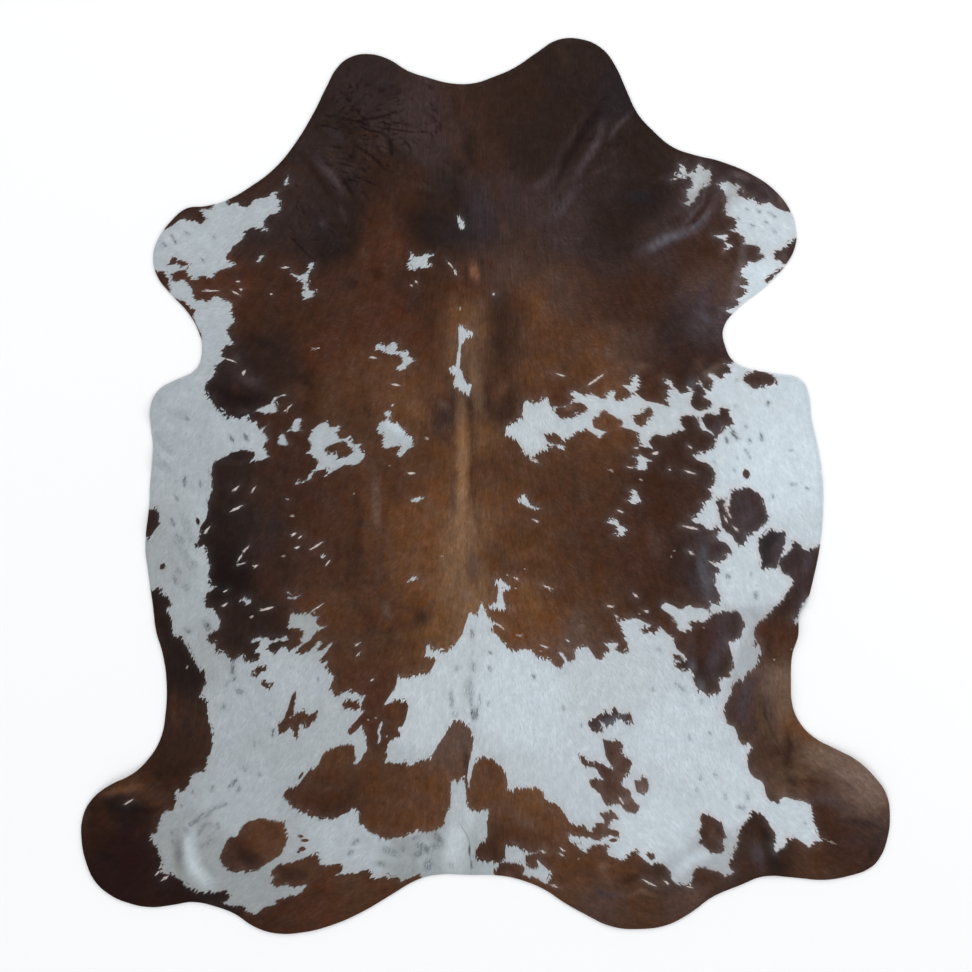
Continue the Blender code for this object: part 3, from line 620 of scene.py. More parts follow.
# Leaf-shaped flecks: their two ends and their greatest width
WHITE_FLECKS = """
left shoulder: -73,50.1 -68,50.1 .28; -52.5,56.1 -50.1,56.1 .39; -55,49.3 -54.6,49.3 .28; -64,52.5
  -63,52.5 .39; -63.2,50.5 -62.3,50.5 .34; -65,50 -62.8,48.8 .34; -18,52.6 -17.4,52 .56;
  -19.1,51.6 -18.7,51.2 .39; -10,57.8 -8.3,56 .34; -8.3,56 -7.4,54 .34
left upper flank: -66.8,32.8 -63.9,31.7 .34; -51.8,19 -49.5,21.2 .28; -62.3,28.6 -61.7,29.8 .62
left belly: -44.5,-32 -41.3,-30 .28; -57.8,-32 -54.2,-31 .56; -67.2,-27.2 -66,-26.6 .28; -67.8,-31
  -66,-30 .39
left lower flank: -60.1,-1.6 -58.9,.1 .28; -65,-1.4 -63.2,.1 .39; -65.7,-6.6 -62.3,-5 .5;
  -49.8,-12.6 -48.5,-12 .5; -48,-13.4 -46.9,-12.7 .28; -48.9,-16 -47.6,-15.5 .39; -45.2,-16.5
  -41.5,-14.2 .45; -41,-20.4 -39.8,-18.9 .28; -60.5,-15.1 -62.3,-17 .34; -62.3,-17 -63.9,-19.8
  .34; -64,-20.3 -61.5,-19.7 .34; -59.8,-20.7 -58.3,-20.3 .34; -72.3,-12.3 -70.6,-10.2 .45;
  -51,-3.4 -50.5,-3.4 .28
left loin: -20,3.3 -18,3.3 .5
left back: -24.1,20.5 -23.6,21.1 .39; -29.8,33.2 -27.8,32.8 .34; -24.3,26.2 -21.8,25.8 .45
right loin: 12,-8.5 13.7,-9.3 .34; 33.8,-6.2 35.3,-6.8 .45; 11.8,7.3 13.5,6.4 .28
middle loin: 6.8,-23.2 8.4,-24 .34
right rump: 14.3,-25.3 17.4,-26.6 .28; 14,-40.8 16.2,-41.6 .34; 20.5,-39.3 21.5,-40 .28;
  30.8,-30.8 33,-31 .34; 33,-32.8 34,-33.8 .28
middle rump: 2,-34.7 5,-37 .39
right lower flank: 38,9.8 39.3,9.8 .34; 36,5 37.8,4.6 .28; 42.7,8.2 44.3,8.6 .67; 46.9,4.2
  47.5,4.2 .34; 51,4 54,3 .34; 51.8,10.5 53,9.6 .28; 50.5,-10.2 54.8,-11.2 .45; 52,-16.7
  53.5,-17.5 .28; 57.2,-19.2 59,-20.2 .28; 61.2,-3.5 62,-6.5 .28; 62,-6.5 63.2,-8.4 .28; 61.2,-7.5
  62.2,-9.5 .45; 63.3,-10 65,-11.8 .28
right belly: 37.8,-27.3 39,-28.7 .39; 40.5,-32 41.8,-32.3 .34
left rump: -33.5,-41 -32,-40.2 .28; -32,-42.3 -33,-43.7 .28; -29.5,-50 -28.6,-49.5 .28
right tail end: 13.8,-93.5 15.3,-94.2 .28; 19,-92.8 20.3,-93.8 .28; 18.5,-94 20,-95 .28;
  16.5,-102.3 18.8,-103.3 .34
right hock: 40.2,-101 43.8,-102.8 .39; 45.7,-101.2 47,-102.3 .28; 51,-102.7 53.3,-103.2 .28
middle shoulder: 2,49 2.4,49.6 .56
right back: 18,28.9 20.2,28.3 .34; 26,25.6 30.3,28.6 .5
right shoulder: 47.5,78.6 49,78.9 .28
right thigh: 34.2,-79.7 35.5,-81.8 .34
left hock: -84.8,-100 -83.3,-98.3 .34; -83.3,-101.3 -81,-99.8 .34
left thigh: -92.7,-81.8 -90.3,-80.3 .28
"""

DARK_FLECKS = """
left thigh: -48,-75.3 -46.7,-73.3 .7
left hock: -48,-90 -46.6,-90 .7; -47.5,-91 -45.1,-91 1; -48,-93.2 -46,-93.2 1.2; -48.4,-94
  -47.6,-94 .7
right tail end: 31.6,-91 34,-91 1
right lower flank: 66.6,4.5 67.3,1.8 1.9
left lower flank: -83.5,-20.2 -82.5,-21 2; -74.1,-8 -73.7,-10 1
"""

BORDER_STEP = 0.45 * CM
BORDER_BAND = 2.2 * MM
BORDER_CLEAR = 1.6 * MM
FAR_FROM_BORDER = 30.0


def lens(ends, width):
    """A fleck: a small leaf-shaped ring from one end to the other."""
    start, end = np.array(ends)
    t = np.array((0.0, 0.12, 0.3, 0.55, 0.8, 1.0, 0.8, 0.55, 0.3, 0.12))
    side = np.array((0.0, 0.38, 0.85, 1.0, 0.6, 0.0, -0.6, -1.0, -0.85, -0.38)) * width / 2
    along = end - start
    across = np.array((-along[1], along[0])) / np.hypot(*along)
    return (start + t[:, None] * along + side[:, None] * across) * CM


def rings_of(islands):
    return [np.array(points) * CM for _name, points, _numbers in chart(islands)]


dark_rings = [np.concatenate(rings_of(stretches)) for stretches in (BIG_FIELD, LEFT_HIND_LEG)]
dark_rings += rings_of(DARK_ISLANDS)
white_rings = rings_of(WHITE_ISLANDS)
inmost_rings = rings_of(DARK_IN_WHITE)
dark_flecks = [lens(ends, *width) for _name, ends, width in chart(DARK_FLECKS)]
white_flecks = [lens(ends, *width) for _name, ends, width in chart(WHITE_FLECKS)]


def stepped(ring, step):
    """Points along the straight sides of a closed ring, at most a step apart."""
    made = []
    for p, q in zip(ring, np.roll(ring, -1, axis=0)):
        count = max(1, math.ceil(float(np.hypot(*(q - p))) / step))
        made.append(p + (q - p) * (np.arange(count) / count)[:, None])
    return np.concatenate(made)


broad_rings = dark_rings + white_rings + inmost_rings
fleck_rings = dark_flecks + white_flecks
stepped_rings = [stepped(ring, BORDER_STEP) for ring in broad_rings + fleck_rings]
border_of_fleck = np.concatenate(
    [np.full(len(ring), k >= len(broad_rings)) for k, ring in enumerate(stepped_rings)]
)
border_points = np.concatenate(stepped_rings)
border_before = np.concatenate([np.roll(ring, 1, axis=0) for ring in stepped_rings])
border_after = np.concatenate([np.roll(ring, -1, axis=0) for ring in stepped_rings])
border_out = np.concatenate([outward(ring) for ring in stepped_rings])
border_tree = tree_of(border_points)
BORDER_ROOM = (12.0, 9.0, 6.0, 3.0)


def from_side(points, start, end):
    """Distance from each point to a straight side of its own."""
    along = end - start
    share = ((points - start) * along).sum(1) / np.maximum((along * along).sum(1), 1e-12)
    foot = start + along * np.clip(share, 0.0, 1.0)[:, None]
    return np.hypot(*(points - foot).T)


def darkness(points):
    """Distance to the nearest border of the markings in mm: above nought in brown hair, below
    nought in white hair, and no further than FAR_FROM_BORDER either way."""
    dark = np.zeros(len(points), bool)
    for ring in dark_rings + dark_flecks:
        dark |= within(points, ring)
    for ring in white_rings + white_flecks:
        dark &= ~within(points, ring)
    for ring in inmost_rings:
        dark |= within(points, ring)
    near, _ = nearest(border_tree, points)
    away = np.minimum(
        from_side(points, border_before[near], border_points[near]),
        from_side(points, border_points[near], border_after[near]),
    )
    return np.where(dark, 1.0, -1.0) * np.minimum(away / MM, FAR_FROM_BORDER)


def room_at_border():
    """How far every border point is from the next border on its narrower side, in mm."""
    room = np.full(len(border_points), BORDER_ROOM[0])
    for side in (-1.0, 1.0):
        own = darkness(border_points + border_out * side * MM) > 0
        for reach in BORDER_ROOM:
            there = darkness(border_points + border_out * side * reach * MM) > 0
            room[own != there] = np.minimum(room[own != there], reach)
    return room


border_room = room_at_border()

COAT_EDGE_STEP = 0.006
COAT_PITCH = 0.0080
# How the coat rounds down over the cut edge. Columns: distance inside the edge, height over the
# folds, both in mm; a distance below nought is outside the edge
COAT_RIM = (
    (-3.0, 0.4),
    (-1.3, 1.0),
    (-0.9, 2.6),
    (0.0, 4.3),
    (1.2, 4.9),
    (3.0, 5.2),
    (8.0, 5.4),
    (16.0, 5.5),
)
COAT_RINGS = (-0.9, 0.0, 1.2, 3.0, 8.0)
COAT_SKIRT = 1.3
# Creases under this half width in centimetres have rows of points of their own, as the ticking has
NARROW_CREASE = 1.2
FINE_GAP = 0.0018
BAND_ROWS, BAND_STEP = (-1, -0.5, 0, 0.5, 1), 0.9
# How far the coat's rows stay off its rings in mm, and its filling off both, as a share of its
# pitch
RING_CLEAR, FILLING_CLEAR = 2.2, 0.5
# Up to how far from the edge the creases are shallower, in mm, and how far off it a point can lie
CALM_RIM, RIM_REACH = 12, 0.02
# Creases, finer than the folds: the course of each, its half width in centimetres, its height in
# mm, and its painted shade or sheen: how much darker a furrow or lighter a ridge is coloured
CREASES = """
left neck: -33.2,98.2 -32.9,96.6 -32.1,95 -30.9,94.2 -28.6,94.4 -26.7,94.9 -24.8,95.4 -21.8,96.7
  .6 -1 -.7; -37.4,94 -35.1,93.9 -33.2,93.6 -31.8,93.3 -30.4,92.9 -29.3,92.3 .44 -.8 -.7;
  -28.8,92.6 -26.4,91.9 -23.4,91.5 -19,90.9 -16,90.9 .4 -.7 -.65; -27.3,93.7 -25.3,93 -23.7,92.6
  .4 -.6 -.78; -32.3,92.5 -31.1,91.7 -29.7,91.2 -28.1,91.1 -26,90.4 .44 -.8 -.78; -26.5,90.9
  -25.4,89.6 -24.8,88.4 -24.1,87 -24.1,85.6 -24.8,84.5 1 -1.2 -.7; -31.3,90.2 -30.1,89.7 .44 -.5
  -.54; -29,89.8 -27.2,89.7 .4 -.5 -.54; -28.3,88 -27.4,86.1 -26.2,84.9 .75 -.8 -.54; -22.2,87.2
  -20.6,88.3 -19.8,87.7 -19.3,86.6 -19.2,84.9 .53 -.9 -.7; -39.8,87.4 -38.4,86.9 -36.5,86.8 .53
  -.8 -.65; -34.4,88.3 -33,87.3 -31.8,86.1 -30.4,85.4 -29,84.5 -27.4,83.1 -26,81.4 -24.4,80.6 .7
  -.8 -.56; -38.6,83.2 -37,82.7 -35.6,82.5 -33.9,81.8 .48 -1 -.8; -37.9,81.4 -36,80.6 -34.9,80.1
  .44 -.8 -.62; -34.4,79.7 -32.3,78.9 -30.4,78.3 -28.8,77.5 -26.9,76.9 .4 -.7 -.65; -34.7,78.8
  -33.3,78.1 .48 -.8 -.62; -41.8,95.3 -40.5,94.7 -39.3,95 -37.7,95.2 .53 -.7 -.62; -41.4,92.7
  -39.5,92.2 -38.1,91.5 -36.8,92.2 .48 -.6 -.56; -35,103.2 -34.3,102.1 .7 -.5 -.59; -33,103.2
  -32.8,101.4 .53 -.6 -.65; -35.6,99.5 -34.9,99 .53 -.4 -.59; -37.1,101.4 -36.6,100.6 .53 -.4
  -.53; -38.2,99 -37.7,98.3 .53 -.4 -.53; -35.4,107.5 -34.6,106.2 .9 -.4 -.56; -31.2,105.8
  -30.4,105.4 .7 -.4 -.53; -27.9,101.7 -26,101.3 1 -.6 -.56; -24.5,103 -23.7,102.4 .8 -.4 -.53;
  -22.4,101.5 -21.2,101.1 1 -.4 -.47; -29.6,100.7 -29.2,99.7 .7 -.4 -.62; -32.8,89.2 -31.8,88.1
  1.3 .6 .4; -14.4,98.8 -13.5,97.2 .53 -.6 -.62; -14,95.4 -12.9,94 -12.2,93.2 .57 -.6 -.56
left shoulder: -49,85.4 -46.8,84.5 -45.1,82.6 -43.7,80.2 -41.7,77.6 -40.2,75.4 -39.1,72.8
  -38.6,70.4 1.6 -2 -.39; -42.6,82.6 -40.4,80.6 -38.8,79.3 -37.9,77.5 -36.5,75.6 -35.1,74.7 1.4
  1.6 .34; -37.2,79.6 -35.8,77.5 -34.6,75.6 -34.1,74.3 .75 -1 -.71; -49.9,63.8 -48.2,61.9
  -46.6,60.4 -44.8,58.6 -43.6,58 .44 -.6 -.56; -48.9,77.3 -47.9,76.9 1 -.4 -.37
right neck: 30.8,99.3 29.9,97.2 28.2,95.5 26.8,93.5 25.1,91.5 23.9,89.2 22.5,86.7 21.1,84.4
  19.6,81.5 18.6,77.5 1.7 -1.8 -.42; 23.1,90.9 21.9,88.1 20.6,86 .9 .8 .4; 30.1,93.1 29.3,90.4
  28.8,88.4 27.3,86.9 26.8,84.4 25.6,82.9 24.8,81.5 23.6,79.8 22.6,78.6 1.5 1 .3; 38.1,95.7
  35.6,94.1 34.5,92.7 33.3,91.2 32.2,89.8 31.3,88.6 1 .8 .3
right shoulder: 39.9,59 42.6,61.2 44.9,62.3 46.9,63.5 49.2,64.3 51.4,65.5 53.2,66.3 54.9,67.5
  56.5,68.8 2.1 1.8 .22; 51.2,67.3 53.2,68.9 54.3,71.1 55.7,72.6 56.3,75.5 56.7,77.2 .53 1 .53;
  52.9,66.6 54,69.2 55.7,70.6 56.9,72.9 57.5,76.3 .9 -.8 -.33; 56.1,68.4 57.2,70.6 58.9,72.9
  59.5,74.6 1.2 .9 .31
left flank: -84,29 -76,27.5 -70,26.5 1.4 1.1 .065; -85,24.5 -77,23.5 -71,22 1.4 1.1 .065; -86,15
  -78,14.4 -72,13.4 1.4 1.1 .065; -87,3 -79,3.4 -73,4 1.4 1.1 .065; -86,-3.5 -79,-3.4 -73,-2.5 1.4
  1 .065
left foreleg: -85,66 -80,62 -76,59 1.3 1 .065; -80,69 -75,65 -71,61 1.3 1 .065
left back: -31,9 -30.5,-8 -30,-24 -28,-41 2 1.2 .065
left shank: -104,-82 -97,-79 -90,-77 -82,-75 2 2 .16; -101,-87 -94,-83.5 -86,-80.5 1.9 -2.2 -.16
left hock: -79.5,-87 -79,-94 -80,-101 1.8 -1.4 -.1; -76,-87 -76.5,-96 -72,-102 2.8 1.5 .078
tail end: -7,-86.1 -4.7,-89.7 -4.1,-91.5 -4.1,-94.3 -3.7,-97.2 -3.8,-99.6 .35 -.4 -.39; -4.2,-92.6
  -4.1,-94.6 .4 -.3 -.33
right hock: 70.5,-86 73,-93 76.5,-99.5 1.4 -2.2 -.17; 67.5,-86 70,-94 73,-101 1.4 1.4 .1
right thigh: 72,-71 79,-68.5 86,-70 1.3 1.3 .1; 73,-75.5 80,-74 88,-75.5 1.3 1.3 .1; 75,-45 76,-52
  78,-60 1.5 1.4 .1; 71,-47 72.5,-54 75,-61 1.3 -1 -.078
"""

# Patches that are finely wrinkled all over. Columns: middle x, y, half width and half height in
# centimetres, the angle the wrinkles run at in degrees, and how many there are
WRINKLED = (
    (-31, 93.5, 11, 5, -6, 76),
    (-36, 101, 5, 6, 50, 44),
    (-26, 100, 8, 6, 20, 22),
    (-28, 87, 9, 6, -40, 56),
    (-38, 83.5, 7, 5, -18, 38),
    (-14, 93, 5, 10, -55, 40),
    (-21, 90, 7, 6, -12, 22),
    (-32, 79, 8, 5, -24, 22),
    (-18, 82, 6, 6, -50, 16),
    (-46, 69, 6, 8, -50, 34),
    (-36, 64, 5, 6, -60, 14),
    (33, 87, 5, 5, 32, 14),
    (26, 90, 4, 7, 60, 14),
    (18, 74, 4, 5, 60, 8),
    (49, 68, 6, 4, 35, 8),
)
# Length, bow and half width of such a wrinkle in centimetres, its depth in mm, and how much
# painted shade darkens a furrow, or painted sheen lightens a ridge, for each millimetre of depth
WRINKLE_LENGTH, WRINKLE_BOW, WRINKLE_HALF = (0.7, 2.6), 0.22, (0.28, 0.56)
WRINKLE_DEPTH, WRINKLE_SHADE = (0.22, 0.85), 0.7
# How far wrinkles stray over their patch, as a share of its half sizes, and turn, in degrees;
# which share of them are furrows, and how high the others stand beside the furrows' depth
WRINKLE_STRAY, WRINKLE_TURN = 0.5, 24.0
FURROW_SHARE, RIDGE_HEIGHT = 0.72, 0.6
WRINKLE_SEED = 7
# How the hair lies, the same on both sides of the spine. Columns: distance out from the spine, y,
# in centimetres, and the angle in degrees below straight outwards
HAIR_LIE = (
    (0, 110, 90), (0, 80, 90), (0, 50, 90), (0, 20, 90), (0, -10, 90), (0, -40, 90),
    (0, -70, 90), (0, -100, 90), (25, 95, 50), (25, 60, 20), (45, 70, 25), (70, 65, 30),
    (60, 50, 10), (30, 35, 25), (50, 35, 25), (30, 0, 30), (50, 0, 35), (70, 10, 50),
    (82, 0, 60), (30, -30, 35), (50, -30, 40), (72, -20, 50), (80, -30, 65), (20, -60, 70),
    (40, -60, 60), (60, -60, 65), (75, -55, 80), (30, -80, 70), (50, -90, 50), (60, -100, 35),
    (30, -105, 30), (85, -70, 30), (98, -80, 45), (90, -95, 20), (70, -95, 60),
)
# How far such a place reaches in centimetres, how far and how much it still counts beyond that,
# and how far from the spine the two sides part
LIE_REACH, LIE_FAR, LIE_FAR_SHARE, PARTING = 15, 60, 1e-4, 4

# The tones of the hair, as red, green and blue from 0 to 255
HAIR_TONES = {
    "raven": (31, 23, 22),
    "soot brown": (38, 29, 26),
    "dark slate": (41, 35, 37),
    "bitter chocolate": (44, 33, 29),
    "bistre": (50, 39, 37),
    "umber": (50, 35, 29),
    "chocolate": (58, 40, 33),
    "slate brown": (61, 48, 46),
    "auburn": (62, 40, 30),
    "cocoa": (65, 48, 41),
    "dark chestnut": (70, 46, 36),
    "chestnut": (76, 51, 37),
    "rust": (74, 46, 34),
    "warm brown": (83, 56, 39),
    "golden brown": (92, 62, 44),
    "copper": (101, 67, 45),
    "gold": (108, 76, 51),
    "dusty brown": (79, 60, 52),
    # painted sheen: these two tones stand for the light thrown back by hair on ridges and folds
    "slate gloss": (73, 62, 65),
    "steel gloss": (83, 82, 89),
    "rosy brown": (92, 71, 61),
    "pale tan": (104, 80, 63),
    "tan": (117, 88, 65),
    "dorsal tan": (132, 99, 73),
    "rosy tan": (117, 96, 85),
    "orange tan": (124, 83, 64),
    "blue slate": (56, 47, 50),
    "red umber": (59, 35, 28),
    "mahogany": (38, 24, 19),
    "burnt umber": (48, 31, 23),
    "rosy grey": (93, 78, 78),
    "dusty rose": (107, 87, 81),
    "pearl grey": (168, 175, 179),
    "ash white": (158, 163, 165),
    "cool white": (174, 182, 186),
    "creamy grey": (150, 155, 156),
    "soft white": (189, 198, 202),
    "clean white": (196, 206, 212),
    "bright white": (205, 217, 224),
    # a painted shadow, laid only down the hollow of the left hock
    "grey white": (126, 130, 127),
}

# Where the brown hair has which tone: how far such a tone and a small spot reach in centimetres,
# how much a spot outweighs it, and how far and how much a tone still counts beyond its reach
TONE_REACH, NARROW_REACH, SPOT_WEIGHT = 5.2, 3.5, 3.0
FAR_REACH, FAR_SHARE = 30, 0.002
DARK_TONES = """
raven: -65,24 -66,-22
soot brown: 40,73 -17,66 -38,62 -66,-10 -82,-35 -79,-50 -68,-105
dark slate: 32,98 -5,65 73,-15
bitter chocolate: 20,108 25,100 18,95 -38,94 38,92 12,90 26,88 12,85 40,80 -10,72 -35,70 33,66
  -60,30 -65,5 -60,-35
bistre: -32,107 -36,100 -28,96 -46,89 30,80 64,79 -8,78 25,78 -38,77 -42,70 -50,65 2,64 -60,62
  30,60 48,40 -65,27 -9,18 -58,-10
umber: 10,103 8,95 -25,80 5,44 -55,35 5,35 55,33 -50,28 52,-20 78,-32 -80,-66
chocolate: -6,97 -2,85 35,52 45,33 3,22 55,21 58,17 48,12 50,5 -55,0 -52,-22 55,-45 -78,-60
  -75,-62 70,-99
slate brown: -15,97 -22,90 -13,88 68,77 2,75 20,74 58,74 15,70 53,67 20,65 45,63 55,45 67,-6
  57,-14 80,-20 82,-27 62,-37 30,-60 100,-90
auburn: -21,76 -25,68 62,68 55,60 -20,55 -55,55 -15,50 -10,50 40,46 -45,45 -58,45 40,26 -50,15
  -45,0 38,0 45,-5 -35,-20 45,-28 74,-68 85,-76 -38,-80 88,-86 58,-89 95,-92 2,-94 -55,-111
cocoa: 10,60 -3,57 66,-57 68,-92 45,-100 60,-102
dark chestnut: -35,50 25,50 -40,-5 30,-15 40,-20 -45,-25 52,-38 -22,-62 34,-73 -45,-78 -63,-94
  57,-98
chestnut: 0,30 -35,20 0,5 -25,0 20,0 30,0 25,-20 -28,-25 -28,-35 30,-35 -35,-42 75,-43 -90,-77
  5,-88 10,-92 80,-95 -48,-98 -30,-104 40,-108
rust: -24,62 -28,58 -65,54 -70,53 -6,52 -25,45 -15,38 -42,35 22,19 76,-37 -28,-55 -45,-108
warm brown: 12,48 20,38 -35,28 -12,28 25,27 40,18 20,12 30,10 -15,5 10,5 -28,-5 -28,-14 12,-15
  5,-20 20,-28 -41,-30 -40,-72 -25,-80 35,-96 20,-100
golden brown: 12,42 30,32 12,30 -25,25 -18,22 -1,0 0,-10 0,-73 -15,-80 5,-80 15,-86 -55,-90
copper: 33,27 30,17 -10,0 -20,-10 -20,-20 -15,-30 8,-30 15,-35
gold: -6,45 -4,12 -6,-38 10,-82
dusty brown: 5,57 58,52 20,50 38,35 70,-50 57,-51 33,-67 70,-73 102,-84 50,-107 30,-108
slate gloss: 57,42 57,-22
rosy brown: 24,-38 -8,-66 40,-76 92,-78 37,-82
pale tan: -5,35 77,-55 78,-63 85,-68 80,-74
tan: -5,-25 -8,-30
dorsal tan: -5,-10
rosy tan: 75,-50 92,-71 98,-77 100,-78
mahogany: -95,-92 -95,-100 -78,-100
burnt umber: -85,-72 -100,-86 70,-86
"""

# Small spots of another tone
DARK_SPOTS = """
raven: -92,-82
soot brown: 57,-48 75,-96
umber: 78,-68
auburn: -16,-34
copper: 80,-64
"""

# Where the white hair has which tone. It is greyer towards the left of the hide and brighter
# towards the right, partly as painted light falling from the right
WHITE_TONES = """
pearl grey: 62,-97 53,-99 70,-42 -78,10 -65,-55 -62,-80
ash white: -47,-38 -73,-47 54,75 -80,-15
cool white: -60,14 -39,12 -73,-14 -78,60 -50,-45 -35,-90
creamy grey: -61,-107 -77,-99 -75,-95 -15,-94
soft white: -15,-55 15,18 45,17 30,-50 50,80
clean white: 10,-55 50,-65 65,-80 45,-90 68,-20 80,-86 70,65
bright white: 75,5 70,52
"""
